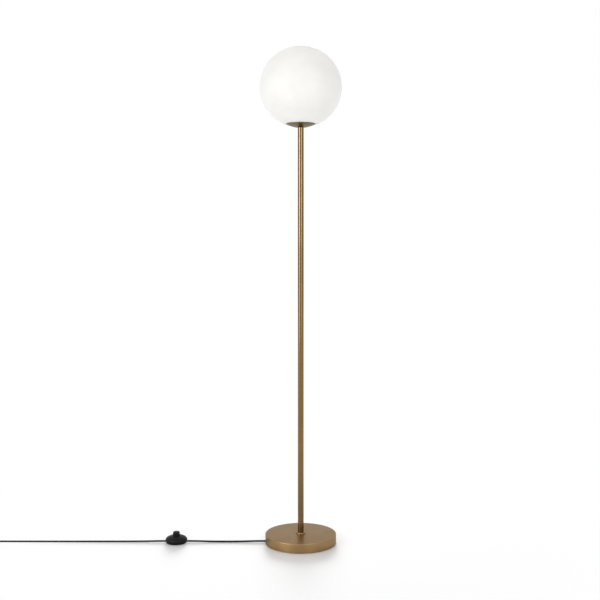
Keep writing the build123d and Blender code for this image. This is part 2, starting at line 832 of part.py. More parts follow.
with BuildPart() as switch_block:
    with BuildSketch(switch_floor.offset(plate_top)):
        RectangleRounded(switch_block_w, switch_block_l, 1)
        Circle(button_stem_r + run_gap, mode=Mode.SUBTRACT)
    extrude(amount=switch_block_h)
switch_block.part.label = "switch_block"
export_step(switch_block.part, "parts/switch_block.step")

with BuildPart() as switch_terminals:
    with BuildSketch(switch_floor.offset(plate_top)):
        with Locations(*terminal_places):
            Rectangle(terminal_l, terminal_w)
            Circle(screw_hole_r, mode=Mode.SUBTRACT)
    extrude(amount=terminal_h)
switch_terminals.part.label = "switch_terminals"
export_step(switch_terminals.part, "parts/switch_terminals.step")

with BuildPart() as switch_terminal_screws:
    with BuildSketch(switch_floor.offset(plate_top)):
        with Locations(*terminal_places):
            Circle(small_screw_r)
    extrude(amount=terminal_h)
    with BuildSketch(switch_floor.offset(terminal_top)):
        with Locations(*terminal_places):
            Circle(small_head_r)
    extrude(amount=small_head_t)
switch_terminal_screws.part.label = "switch_terminal_screws"
export_step(switch_terminal_screws.part, "parts/switch_terminal_screws.step")

with BuildPart() as switch_clamps:
    with BuildSketch(switch_floor.offset(clamp_low)):
        for side in (-1, 1):
            with Locations((side * clamp_x, 0)):
                Rectangle(clamp_w, 2 * (clamp_screw_y + clamp_boss_r))
        with Locations(*clamp_screw_places):
            Circle(screw_hole_r, mode=Mode.SUBTRACT)
    extrude(amount=clamp_t)
switch_clamps.part.label = "switch_clamps"
export_step(switch_clamps.part, "parts/switch_clamps.step")

with BuildPart() as switch_clamp_screws:
    with BuildSketch(switch_floor.offset(switch_lift + small_head_t)):
        with Locations(*clamp_screw_places):
            Circle(small_screw_r)
    extrude(amount=clamp_top - switch_lift - small_head_t)
    with BuildSketch(switch_floor.offset(clamp_top)):
        with Locations(*clamp_screw_places):
            Circle(small_head_r)
    extrude(amount=small_head_t)
switch_clamp_screws.part.label = "switch_clamp_screws"
export_step(switch_clamp_screws.part, "parts/switch_clamp_screws.step")

with BuildPart() as switch_inner_cords:
    for side in (-1, 1):
        with BuildSketch(switch_end.offset(side * cord_end_x)):
            with Locations((0, cord_exit_z)):
                Circle(cord_r)
        extrude(amount=side * (switch_r - cord_end_x))
switch_inner_cords.part.label = "switch_inner_cords"
export_step(switch_inner_cords.part, "parts/switch_inner_cords.step")

with BuildPart() as switch_button:
    with BuildSketch(switch_side):
        with BuildLine():
            Polyline(
                (0, stem_low),
                (button_stem_r, stem_low),
                (button_stem_r, button_ceiling),
                (button_r - button_wall, button_ceiling),
                (button_r - button_wall, button_low),
                (button_flange_r, button_low),
                (button_flange_r, button_low + button_flange_t),
                (button_r, button_low + button_flange_t),
                (button_r - button_taper, button_top),
                (0, button_top),
                close=True,
            )
        make_face()
    revolve(axis=switch_axis)
    fillet(switch_button.edges().filter_by(GeomType.CIRCLE).sort_by(Axis.Z)[-1], button_edge_r)
switch_button.part.label = "switch_button"
export_step(switch_button.part, "parts/switch_button.step")

# ---------------------------------------------------------------- windings


def direction(place, turn):
    """Direction of a winding's centre line, where place gives its points from the turn."""
    step = 1e-4
    return (place(turn + step) - place(turn - step)).normalized()


def wind(place, turns):
    """Arcs along a winding: each quarter turn is two arcs that meet without a kink."""
    quarters = round(4 * turns)
    for quarter in range(quarters):
        start, end = (place(turns * (quarter + ahead) / quarters) for ahead in (0, 1))
        leaving, arriving = (direction(place, turns * (quarter + ahead) / quarters) for ahead in (0, 1))
        chord = end - start
        along = chord.dot(leaving + arriving)
        fold = 2 * (1 - leaving.dot(arriving))
        reach = (sqrt(along**2 + fold * chord.dot(chord)) - along) / fold
        joint = (start + leaving * reach + end - arriving * reach) * 0.5
        first = TangentArc(start, joint, tangent=leaving)
        TangentArc(joint, end, tangent=first % 1)


def least_gap(place, turns, thickness):
    """Least room between one turn of a winding and another."""
    steps = 96
    points = [tuple(place(index / steps)) for index in range(round(turns * steps) + 1)]
    gaps = [
        dist(here, there) for index, here in enumerate(points) for there in points[index + steps // 2 :]
    ]
    return min(gaps) - thickness


spring_low_z = switch_block_top + seat_gap + switch_spring_wire / 2
spring_high_z = button_ceiling - seat_gap - switch_spring_wire / 2
spring_rise = (spring_high_z - spring_low_z) / switch_spring_turns


def spring_place(turn):
    """Centre line of the switch's return spring."""
    across = switch_x + switch_spring_r * cos(2 * pi * turn)
    return Vector(across, switch_spring_r * sin(2 * pi * turn), spring_low_z + spring_rise * turn)


with BuildPart() as switch_spring:
    with BuildLine():
        wind(spring_place, switch_spring_turns)
    with BuildSketch(Plane(origin=spring_place(0), z_dir=direction(spring_place, 0))):
        Circle(switch_spring_wire / 2)
    sweep()
switch_spring.part.label = "switch_spring"
export_step(switch_spring.part, "parts/switch_spring.step")

print("least gap in the switch spring", least_gap(spring_place, switch_spring_turns, switch_spring_wire))

# ---------------------------------------------------------------- cord on the floor


def corner_radii(points):
    """Radius for each corner: 0.45 of the shorter run, divided by the tangent of half the turn."""
    radii = []
    for before, corner, after in zip(points, points[1:], points[2:]):
        run_in = Vector(corner) - Vector(before)
        run_out = Vector(after) - Vector(corner)
        half_turn = radians(run_in.get_angle(run_out)) / 2
        radii.append(0.45 * min(run_in.length, run_out.length) / tan(half_turn))
    return radii


lead_in = 30.0
lead_drop = 75.0
switch_right_x = switch_x + switch_r
switch_left_x = switch_x - switch_r
coil_low_z = tie_t + seat_gap + cord_r

switch_lead = [
    (bush_face_x, 0, cord_exit_z),
    (bush_face_x - lead_in, 0, cord_exit_z),
    (bush_face_x - lead_drop, 0, cord_lie_z),
    (switch_right_x + lead_drop, 0, cord_lie_z),
    (switch_right_x + lead_in, 0, cord_exit_z),
    (switch_right_x, 0, cord_exit_z),
]
coil_lead = [
    (switch_left_x, 0, cord_exit_z),
    (switch_left_x - lead_in, 0, cord_exit_z),
    (switch_left_x - lead_drop, 0, cord_lie_z),
    (coil_x + 2 * lead_in, 0, cord_lie_z),
    (coil_x + lead_in, 0, coil_low_z),
    (coil_x, 0, coil_low_z),
]

with BuildPart() as cord_base_to_switch:
    with BuildLine() as switch_lead_line:
        FilletPolyline(*switch_lead, radius=corner_radii(switch_lead))
    with BuildSketch(Plane.YZ.offset(bush_face_x)):
        with Locations((0, cord_exit_z)):
            Circle(cord_r)
    sweep()
cord_base_to_switch.part.label = "cord_base_to_switch"
export_step(cord_base_to_switch.part, "parts/cord_base_to_switch.step")

with BuildPart() as cord_switch_to_coil:
    with BuildLine() as coil_lead_line:
        FilletPolyline(*coil_lead, radius=corner_radii(coil_lead))
    with BuildSketch(Plane.YZ.offset(switch_left_x)):
        with Locations((0, cord_exit_z)):
            Circle(cord_r)
    sweep()
cord_switch_to_coil.part.label = "cord_switch_to_coil"
export_step(cord_switch_to_coil.part, "parts/cord_switch_to_coil.step")

# ---------------------------------------------------------------- coil

coil_inner_r = coil_outer_r - coil_pitch * coil_layer_turns
lead_angle = atan(coil_pitch / (2 * pi * coil_outer_r))
coil_turns = 2 * coil_layer_turns + coil_climb_turns + lead_angle / pi
coil_mid_x = coil_x - cord_d - coil_outer_r * sin(lead_angle)
coil_mid_y = -coil_outer_r * cos(lead_angle)


def coil_place(turn):
    """Centre line of the coil: in on the floor layer, up where it reverses, and out on the top layer."""
    climb = turn - coil_layer_turns
    share = min(max(climb / coil_climb_turns, 0), 1)
    if climb < 0:
        radius = coil_outer_r - coil_pitch * turn
    elif share < 1:
        radius = coil_inner_r - coil_pitch * climb * (1 - share)
    else:
        radius = coil_inner_r + coil_pitch * (climb - coil_climb_turns)
    angle = pi / 2 - lead_angle + 2 * pi * turn
    height = coil_low_z + coil_layer_step * share**2 * (3 - 2 * share)
    return Vector(coil_mid_x + radius * cos(angle), coil_mid_y + radius * sin(angle), height)


coil_end = coil_place(coil_turns)
coil_exit = coil_end + direction(coil_place, coil_turns) * cord_d

with BuildPart() as cord_coil:
    with BuildLine() as coil_line:
        Line((coil_x, 0, coil_low_z), coil_place(0))
        wind(coil_place, coil_turns)
        Line(coil_end, coil_exit)
    with BuildSketch(Plane(origin=(coil_x, 0, coil_low_z), z_dir=(-1, 0, 0))):
        Circle(cord_r)
    sweep()
cord_coil.part.label = "cord_coil"
export_step(cord_coil.part, "parts/cord_coil.step")

print("least gap in the coil", least_gap(coil_place, coil_turns, cord_d))

tie_inner_w = coil_pitch * (coil_layer_turns - 0.75) + cord_d + 4 * seat_gap
tie_inner_h = coil_layer_step + cord_d + 2 * seat_gap
tie_mid_y = coil_place(1.5).Y
tie_mid_z = coil_low_z + coil_layer_step / 2

with BuildPart() as cord_tie:
    with BuildSketch(Plane.YZ.offset(coil_mid_x - tie_w / 2)):
        with Locations((tie_mid_y, tie_mid_z)):
            RectangleRounded(tie_inner_w + 2 * tie_t, tie_inner_h + 2 * tie_t, tie_round + tie_t)
            RectangleRounded(tie_inner_w, tie_inner_h, tie_round, mode=Mode.SUBTRACT)
    extrude(amount=tie_w)
cord_tie.part.label = "cord_tie"
export_step(cord_tie.part, "parts/cord_tie.step")

# ---------------------------------------------------------------- plug

plug_z = plug_t / 2 + floor_gap
boot_x = coil_exit.X - tail_len
plug_back_x = boot_x - boot_len
plug_shoulder_x = plug_back_x - plug_taper_len
plug_face_x = plug_back_x - plug_len
pin_tip_x = plug_face_x - pin_len
pin_places = [(pin_spacing / 2, plug_z), (-pin_spacing / 2, plug_z)]
tail = [
    (coil_exit.X, coil_exit.Y, coil_exit.Z),
    (coil_exit.X - tail_len * 0.3, coil_exit.Y, coil_exit.Z),
    (coil_exit.X - tail_len * 0.7, 0, plug_z),
    (boot_x, 0, plug_z),
]

with BuildPart() as cord_coil_to_plug:
    with BuildLine() as tail_line:
        FilletPolyline(*tail, radius=corner_radii(tail))
    with BuildSketch(Plane(origin=coil_exit, z_dir=(-1, 0, 0))):
        Circle(cord_r)
    sweep()
cord_coil_to_plug.part.label = "cord_coil_to_plug"
export_step(cord_coil_to_plug.part, "parts/cord_coil_to_plug.step")

with BuildPart() as plug_boot:
    with BuildSketch(Plane.XZ):
        with BuildLine():
            Polyline(
                (boot_x, plug_z),
                (boot_x, plug_z + boot_tip_r),
                (plug_back_x, plug_z + boot_r),
                (plug_back_x, plug_z),
                close=True,
            )
        make_face()
        for groove in range(1, boot_grooves + 1):
            groove_x = boot_x - boot_len * groove / (boot_grooves + 1)
            groove_z = plug_z + boot_r - boot_groove_depth
            with Locations((groove_x, groove_z + boot_r / 2)):
                Rectangle(boot_groove_w, boot_r, mode=Mode.SUBTRACT)
    revolve(axis=Axis((boot_x, 0, plug_z), (-1, 0, 0)))
plug_boot.part.label = "plug_boot"
export_step(plug_boot.part, "parts/plug_boot.step")

with BuildPart() as plug_body:
    with BuildSketch(Plane.YZ.offset(plug_back_x)):
        with Locations((0, plug_z)):
            RectangleRounded(plug_back_w, plug_back_t, plug_corner_r)
    with BuildSketch(Plane.YZ.offset(plug_shoulder_x)):
        with Locations((0, plug_z)):
            RectangleRounded(plug_w, plug_t, plug_corner_r)
    loft()
    with BuildSketch(Plane.YZ.offset(plug_face_x)):
        with Locations((0, plug_z)):
            RectangleRounded(plug_w, plug_t, plug_corner_r)
    extrude(amount=plug_shoulder_x - plug_face_x)
    with BuildSketch(Plane.YZ.offset(plug_face_x)):
        with Locations(*pin_places):
            Circle(pin_core_r + push_fit)
    extrude(amount=pin_root, mode=Mode.SUBTRACT)
plug_body.part.label = "plug_body"
export_step(plug_body.part, "parts/plug_body.step")

with BuildPart() as plug_pins:
    with BuildSketch(Plane.YZ.offset(pin_tip_x)):
        with Locations(*pin_places):
            Circle(pin_r)
    extrude(amount=pin_len - pin_sleeve_len)
    fillet(plug_pins.edges().filter_by(GeomType.CIRCLE).group_by(Axis.X)[0], pin_r / 2)
    with BuildSketch(Plane.YZ.offset(pin_tip_x + pin_len - pin_sleeve_len)):
        with Locations(*pin_places):
            Circle(pin_core_r)
    extrude(amount=pin_sleeve_len + pin_root)
plug_pins.part.label = "plug_pins"
export_step(plug_pins.part, "parts/plug_pins.step")

with BuildPart() as plug_pin_sleeves:
    with BuildSketch(Plane.YZ.offset(plug_face_x)):
        with Locations(*pin_places):
            Circle(pin_sleeve_r)
        with Locations(*pin_places):
            Circle(pin_core_r + push_fit, mode=Mode.SUBTRACT)
    extrude(amount=-pin_sleeve_len)
plug_pin_sleeves.part.label = "plug_pin_sleeves"
export_step(plug_pin_sleeves.part, "parts/plug_pin_sleeves.step")

# ---------------------------------------------------------------- printed checks of the cord

cord_area = pi * cord_r**2
for piece, line in (
    (cord_base_to_switch, switch_lead_line),
    (cord_switch_to_coil, coil_lead_line),
    (cord_coil, coil_line),
    (cord_coil_to_plug, tail_line),
):
    length = sum(edge.length for edge in line.edges())
    share = piece.part.volume / (cord_area * length)
    print(piece.part.label, "length", round(length, 2), "volume over section times length", round(share, 6))
for points in (switch_lead, coil_lead, tail):
    print("corner radii", [round(radius, 1) for radius in corner_radii(points)])
print("coil ends along", direction(coil_place, 0), direction(coil_place, coil_turns))
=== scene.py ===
import logging
import math
from collections.abc import Sequence
from dataclasses import dataclass
from enum import Enum
from typing import Any

import bmesh
import bpy
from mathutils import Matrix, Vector


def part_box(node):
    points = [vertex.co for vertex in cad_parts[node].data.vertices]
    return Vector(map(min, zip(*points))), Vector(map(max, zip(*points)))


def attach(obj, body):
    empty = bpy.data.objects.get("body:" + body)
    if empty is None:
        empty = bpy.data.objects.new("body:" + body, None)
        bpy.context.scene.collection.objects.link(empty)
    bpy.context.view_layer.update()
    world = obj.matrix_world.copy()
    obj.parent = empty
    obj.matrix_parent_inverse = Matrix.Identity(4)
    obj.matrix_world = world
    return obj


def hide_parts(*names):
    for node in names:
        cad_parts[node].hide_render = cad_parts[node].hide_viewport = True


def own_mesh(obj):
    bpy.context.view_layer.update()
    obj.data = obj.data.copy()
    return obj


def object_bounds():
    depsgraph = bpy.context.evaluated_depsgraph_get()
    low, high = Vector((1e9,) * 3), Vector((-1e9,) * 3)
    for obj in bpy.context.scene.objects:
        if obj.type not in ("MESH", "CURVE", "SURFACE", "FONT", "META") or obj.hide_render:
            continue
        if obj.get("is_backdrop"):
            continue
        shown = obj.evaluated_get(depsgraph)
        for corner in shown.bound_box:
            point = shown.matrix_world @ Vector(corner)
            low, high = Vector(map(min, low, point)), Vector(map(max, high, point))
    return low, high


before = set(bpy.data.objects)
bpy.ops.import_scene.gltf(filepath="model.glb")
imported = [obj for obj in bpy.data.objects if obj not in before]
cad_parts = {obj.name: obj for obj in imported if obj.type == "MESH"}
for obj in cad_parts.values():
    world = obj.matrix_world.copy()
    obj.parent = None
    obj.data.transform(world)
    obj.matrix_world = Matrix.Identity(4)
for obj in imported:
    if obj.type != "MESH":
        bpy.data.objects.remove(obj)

LOG = logging.getLogger("globe_floor_lamp")
MM = 0.001
WHITE = (1.0, 1.0, 1.0, 1.0)
# A noise stays mostly between these two values.
SPOTS = {"From Min": 0.3, "From Max": 0.7}
# Points closer than this are one point, in metres.
SAME_SPOT = 1e-6
# How far a cutter reaches past what it cuts, in millimetres.
BEYOND = 1.0
# How far ridges reach past the points that they take in, in millimetres.
HAIR = 0.1
# Most degrees between two points of a rounding.
ROUND_STEP = 11

Point = tuple[float, float]
Place = tuple[float, float, float]
Colour = tuple[float, float, float, float]
Values = dict[str | int, Any]
Piece = bpy.types.Object
Socket = bpy.types.NodeSocket
Tree = bpy.types.NodeTree


class Body(Enum):
    """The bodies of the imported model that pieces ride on."""

    LAMP = "lamp"
    GLOBE = "globe"
    BULB = "bulb"
    BUTTON = "button"


class Brush(Enum):
    """The way in which the brass was brushed."""

    ALONG = "along the tube"
    TURNED = "round the axis, on a lathe"


# ---------------------------------------------------------------- nodes and colours


def linear(hex_colour: str) -> Colour:
    """Turns an sRGB hex colour into a linear one.

    Args:
        hex_colour: six hex digits after a hash sign.

    Returns:
        Red, green, blue and alpha for a colour socket.
    """
    channels = [int(hex_colour[start : start + 2], 16) / 255 for start in (1, 3, 5)]
    red, green, blue = (c / 12.92 if c <= 0.04045 else ((c + 0.055) / 1.055) ** 2.4 for c in channels)
    return (red, green, blue, 1.0)


def add_node(tree: Tree, kind: str, inputs: Values | None = None, **settings: Any) -> bpy.types.Node:
    """Adds a node with its settings and links.

    Args:
        tree: the node tree.
        kind: the node's type name.
        inputs: a value, or another node's output, for each input that isn't left at its default.
        settings: the node's own properties.

    Returns:
        The new node.
    """
    node = tree.nodes.new(kind)
    for name, value in settings.items():
        setattr(node, name, value)
    for key, value in (inputs or {}).items():
        if isinstance(value, Socket):
            tree.links.new(value, node.inputs[key])
        else:
            node.inputs[key].default_value = value
    return node


def empty_tree(owner: bpy.types.Material | bpy.types.World) -> Tree:
    """Empties the node tree of a new material or world.

    Args:
        owner: the material or world.

    Returns:
        Its tree.
    """
    owner.use_nodes = True
    owner.node_tree.nodes.clear()
    return owner.node_tree


# ---------------------------------------------------------------- finishes


@dataclass(frozen=True)
class Finish:
    """A material of one of the lamp's surfaces: two tones in soft patches, under a fine grain."""

    name: str  # The material's name.
    slot: str  # The material slot that it belongs to.
    tone: str = "#1C1C1D"  # Hex colour where the patches are faint.
    worn: str = "#252526"  # Hex colour where they are strong.
    roughness: float = 0.4  # The surface's typical roughness.
    # What is added to the roughness where the spots are faint, and where they are strong.
    swing: Point = (-0.04, 0.06)
    patch: Point = (9.0, 3.0)  # Width of a patch in millimetres, and its levels of detail.
    grain: Point = (0.6, 2.0)  # Width of the grain in millimetres, and its levels of detail.
    depth: float = 0.01  # Depth of the grain, in millimetres.
    relief: float = 0.4  # How strongly the grain turns the light.
    grain_shines: bool = False  # True if the gloss follows the grain, False if it follows the patches.

    def even(self) -> Values:
        """Values of the shader's sockets that are the same all over, here those of bare metal."""
        return {"Metallic": 1.0}

    def follow(self, tree: Tree, place: Socket) -> Socket:
        """The coordinates that the grain follows, here the plain ones."""
        return place

    def spots(self, tree: Tree, place: Socket) -> tuple[Socket, Socket, Socket]:
        """Makes the patches and the grain.

        Args:
            tree: the material's tree.
            place: the plain coordinates.

        Returns:
            The share of the worn tone, what the gloss follows, and the height of the grain.
        """
        noises: list[Socket] = []
        for where, (size, detail) in ((place, self.patch), (self.follow(tree, place), self.grain)):
            noise = {"Vector": where, "Scale": 1 / (size * MM), "Detail": detail}
            noises.append(add_node(tree, "ShaderNodeTexNoise", noise).outputs[0])
        patches, grain = noises
        share = add_node(tree, "ShaderNodeMapRange", {"Value": patches, **SPOTS}).outputs[0]
        return share, grain if self.grain_shines else patches, grain

    def shade(self, tree: Tree) -> Values:
        """Builds the nodes of the surface.

        Args:
            tree: the material's tree.

        Returns:
            Values and links for the shader's sockets.
        """
        place = add_node(tree, "ShaderNodeTexCoord").outputs["Object"]
        share, shine, grain = self.spots(tree, place)
        tones = {0: share, 6: linear(self.tone), 7: linear(self.worn)}
        low, high = (self.roughness + step for step in self.swing)
        gloss = {"Value": shine, **SPOTS, "To Min": low, "To Max": high}
        bump = {"Height": grain, "Distance": self.depth * MM, "Strength": self.relief}
        return {
            "Base Color": add_node(tree, "ShaderNodeMix", tones, data_type="RGBA").outputs[2],
            "Roughness": add_node(tree, "ShaderNodeMapRange", gloss).outputs[0],
            "Normal": add_node(tree, "ShaderNodeBump", bump).outputs[0],
            **self.even(),
        }

    def build(self) -> bpy.types.Material:
        """Makes the material once.

        Returns:
            The material, also when it was made before.
        """
        material = bpy.data.materials.get(self.name)
        if not material:
            material = bpy.data.materials.new(self.name)
            tree = empty_tree(material)
            shader = add_node(tree, "ShaderNodeBsdfPrincipled", self.shade(tree))
            add_node(tree, "ShaderNodeOutputMaterial", {"Surface": shader.outputs[0]})
        return material


@dataclass(frozen=True)
class SatinBrass(Finish):
    """Brass that is aged to a brown gold, brushed and lacquered.

    The brush leaves fine lines that blur reflections across them. The ageing leaves soft clouds of a
    darker tone, and the clear lacquer adds a faint pale gloss at flat angles. The lines are about 0.1 mm
    wide. They are drawn 1 mm wide, so that they show, and along the tube they are 2 m long.
    """

    tone: str = "#9A7D57"
    worn: str = "#8F7450"
    roughness: float = 0.36
    swing: Point = (-0.03, 0.05)
    patch: Point = (45.0, 3.0)
    grain: Point = (1.0, 3.0)
    relief: float = 0.2
    grain_shines: bool = True
    brush: Brush = Brush.TURNED  # The way in which it was brushed.
    lacquer: float = 0.05  # How much gloss the lacquer adds.
    edge: str = "#DADADA"  # Hex colour of the metal's gloss at flat angles.
    # How much the lines along the tube are drawn out, as a share of the plain height.
    shorten: float = 0.0005

    def even(self) -> Values:
        """Metal under a clear lacquer."""
        coat = {"Coat Weight": self.lacquer, "Coat Roughness": 0.1}
        return {"Metallic": 1.0, "Specular Tint": linear(self.edge), **coat}

    def follow(self, tree: Tree, place: Socket) -> Socket:
        """Draws the grain out into lines, along the tube or round the axis.

        Args:
            tree: the material's tree.
            place: the plain coordinates.

        Returns:
            The coordinates that the grain follows.
        """
        across, deep, up = add_node(tree, "ShaderNodeSeparateXYZ", {0: place}).outputs
        if self.brush is Brush.ALONG:
            short = add_node(tree, "ShaderNodeMath", {0: up, 1: self.shorten}, operation="MULTIPLY")
            sides = {0: across, 1: deep, 2: short.outputs[0]}
        else:
            flat = add_node(tree, "ShaderNodeCombineXYZ", {0: across, 1: deep}).outputs[0]
            radius = add_node(tree, "ShaderNodeVectorMath", {0: flat}, operation="LENGTH")
            sides = {0: radius.outputs["Value"], 2: up}
        return add_node(tree, "ShaderNodeCombineXYZ", sides).outputs[0]


@dataclass(frozen=True)
class OpalGlass(Finish):
    """White opal glass, blown and then etched outside to a satin.

    The milky layer scatters light inside the wall, so that the globe looks evenly white, with faint clouds
    where the blown layer is thinner. The etched skin mirrors nothing sharply. Its grain is about 0.05 mm,
    and is drawn 0.5 mm wide, so that it shows.
    """

    tone: str = "#F8F7F3"
    worn: str = "#F3F2ED"
    roughness: float = 0.5
    swing: Point = (-0.04, 0.04)
    patch: Point = (60.0, 2.0)
    grain: Point = (0.5, 1.0)
    depth: float = 0.02
    relief: float = 0.2

    def even(self) -> Values:
        """Dull glass that spreads light inside, a little less in blue."""
        milk = {"Subsurface Weight": 0.3, "Subsurface Radius": (1.0, 0.97, 0.93), "Subsurface Scale": 0.005}
        return {"IOR": 1.5, "Specular IOR Level": 0.35, **milk}


@dataclass(frozen=True)
class Moulded(Finish):
    """Plastic, rubber, ceramic or glass, shaped hot or soft in a tool with a lightly eroded face.

    The tool leaves a fine even grain that breaks the gloss. Handling leaves slightly smoother spots.
    """

    swing: Point = (0.06, -0.04)
    depth: float = 0.02
    relief: float = 0.5
    shine: float = 0.5  # How strong the gloss is, where 0.5 is plain plastic.
    ior: float = 1.5  # Index of refraction.

    def even(self) -> Values:
        """Plain plastic of its own gloss."""
        return {"IOR": self.ior, "Specular IOR Level": self.shine}


@dataclass(frozen=True)
class TurnedMetal(Finish):
    """Turned or pressed metal, bare or with a plated skin.

    Small facets of the skin differ a little in tone. Tool marks are about 0.1 mm apart. They are drawn as
    grain of 0.8 mm, so that they show.
    """

    tone: str = "#A9ABAE"
    worn: str = "#8E9092"
    roughness: float = 0.3
    swing: Point = (-0.05, 0.08)
    patch: Point = (3.0, 3.0)
    grain: Point = (0.8, 2.0)


@dataclass(frozen=True)
class Milky(Finish):
    """Milky silicone or frosted polycarbonate, in which light spreads and edges look soft."""

    patch: Point = (6.0, 3.0)
    grain: Point = (0.4, 2.0)

    def even(self) -> Values:
        """Clear plastic with milk in it."""
        return {"IOR": 1.46, "Subsurface Weight": 0.4, "Subsurface Scale": 0.002}


@dataclass(frozen=True)
class WovenStrap(Finish):
    """Nylon strap woven flat: dull fabric whose threads cross every 0.7 mm, with a little fluff."""

    tone: str = "#1B1B1C"
    worn: str = "#303033"
    roughness: float = 0.825
    swing: Point = (-0.075, 0.075)
    patch: Point = (2.0, 2.0)
    depth: float = 0.1
    relief: float = 0.6
    pitch: float = 0.7  # Spacing of the threads, in millimetres.

    def even(self) -> Values:
        """Plain nylon."""
        return {"IOR": 1.5}

    def spots(self, tree: Tree, place: Socket) -> tuple[Socket, Socket, Socket]:
        """Makes crossing threads, as the product of two waves, and the fluff on them.

        Args:
            tree: the material's tree.
            place: the plain coordinates.

        Returns:
            The share of the worn tone, what the gloss follows, and the height of the threads.
        """
        zoom = {0: place, "Scale": 2 * math.pi / (self.pitch * MM)}
        scaled = add_node(tree, "ShaderNodeVectorMath", zoom, operation="SCALE").outputs[0]
        waves = add_node(tree, "ShaderNodeVectorMath", {0: scaled}, operation="SINE").outputs[0]
        across, deep, up = add_node(tree, "ShaderNodeSeparateXYZ", {0: waves}).outputs
        around = add_node(tree, "ShaderNodeMath", {0: deep, 1: up}, operation="ADD").outputs[0]
        crossing = add_node(tree, "ShaderNodeMath", {0: across, 1: around}, operation="MULTIPLY").outputs[0]
        halves = {0: crossing, 1: 0.5, 2: 0.5}
        weave = add_node(tree, "ShaderNodeMath", halves, operation="MULTIPLY_ADD").outputs[0]
        noise = {"Vector": place, "Scale": 1 / (self.patch[0] * MM), "Detail": self.patch[1]}
        return weave, add_node(tree, "ShaderNodeTexNoise", noise).outputs[0], weave


# Along the tube the brush leaves a sharper gloss. The tube's brass is painted darker and browner than the
# turned brass, as painted shade for the dark room in front that the tube mirrors.
BRASS_TUBE = SatinBrass(
    "brushed_lacquered_brass_tube", "brass", "#6B4F28", "#644A25", 0.2, brush=Brush.ALONG, lacquer=0.45
)
BRASS_TURNED = SatinBrass("turned_lacquered_brass", "brass")
# The spun cup's brass is given a darker olive brown than the rest, as painted shade in place of the lesser
# light that reaches the cup.
BRASS_SPUN = SatinBrass("spun_lacquered_brass", "brass", "#675C41", "#5F543A")
OPAL = OpalGlass("etched_opal_glass", "opal_glass")
ABS_BLACK = Moulded("moulded_black_abs", "black_plastic", "#0D0D0D", "#141414", 0.45, shine=0.12)
# Vinyl is softer than the ABS beside it, and looks duller.
PLUG_VINYL = Moulded("moulded_black_vinyl", "cord", "#111112", "#171718", 0.5, shine=0.15)
PAD_RUBBER = Moulded(
    "cut_black_foam_rubber", "pad", "#1A1A1A", "#262626", 0.85, grain=(0.9, 2.0), depth=0.12
)
# Thermoset takes a harder polish than ABS, so that its highlights are sharper.
THERMOSET = Moulded(
    "pressed_black_thermoset", "black_plastic", "#17171A", "#202022", 0.3, grain=(0.7, 2.0), depth=0.01
)
STEATITE = Moulded(
    "fired_white_steatite", "porcelain", "#E4E1D9", "#D9D5CB", 0.6, grain=(0.7, 2.0), depth=0.03
)
PBT_WHITE = Moulded(
    "moulded_white_pbt", "white_plastic", "#E3E3E0", "#DADAD6", 0.42, grain=(0.5, 2.0), depth=0.01
)
# The seal round the centre contact is melted glass, which looks wet and black.
GLASS_SEAL = Moulded(
    "melted_black_glass", "bulb_insulation", "#101014", "#17171B", 0.15, grain=(1.2, 2.0), depth=0.01
)
# The cord's vinyl is drawn through a die, which leaves an even dull skin. The twisted cores inside show as
# faint swells along it.
CORES = {"swing": (0.05, -0.05), "patch": (12.0, 2.0), "grain": (8.0, 1.0), "depth": 0.3, "relief": 0.3}
FLEX_VINYL = Moulded(
    "drawn_black_vinyl", "cord", "#0F0F10", "#151516", 0.45, shine=0.15, ior=1.52, **CORES
)
ZINC = TurnedMetal("zinc_plated_steel", "steel", roughness=0.32)
SPRING_STEEL = TurnedMetal("bright_spring_steel", "spring_steel", "#8F9093", "#7C7D80", 0.25)
CONTACT_BRASS = TurnedMetal("drawn_contact_brass", "contact_brass", "#C8A45C", "#B08F4E", 0.28)
ALUMINIUM = TurnedMetal("pressed_aluminium", "bulb_metal", "#C6C8CA", "#B2B4B7")
NICKEL = TurnedMetal("nickel_plated_brass", "plated_pins", "#C4C0B6", "#AFABA1", 0.18)
# Grey iron cast in sand has a rough dark skin with the sand's pits, about 0.6 mm, and traces of rust.
PITS = {"swing": (-0.1, 0.1), "patch": (14.0, 4.0), "grain": (0.6, 4.0), "depth": 0.15, "relief": 0.7}
IRON = Finish("sand_cast_iron", "iron", "#4B4B4C", "#5E4A3C", 0.7, grain_shines=True, **PITS)
SILICONE = Milky("moulded_milky_silicone", "silicone", "#E9E8E2", "#DEDDD6", 0.5)
FROSTED = Milky("frosted_polycarbonate", "bulb_diffuser", "#F0F0EC", "#E8E8E3", 0.4)
STRAP = WovenStrap("woven_nylon_strap", "pad")


# ---------------------------------------------------------------- outlines


def polar(centre: Point, radii: Point, start: float, end: float, steps: int) -> list[Point]:
    """Points on an elliptical arc.

    Args:
        centre: (radius, height) of the arc's centre.
        radii: half width and half height.
        start: first angle, in degrees, from the horizontal.
        end: last angle.
        steps: number of pieces.

    Returns:
        The points, first and last included.
    """
    angles = [math.radians(start + (end - start) * index / steps) for index in range(steps + 1)]
    return [(centre[0] + radii[0] * math.cos(a), centre[1] + radii[1] * math.sin(a)) for a in angles]


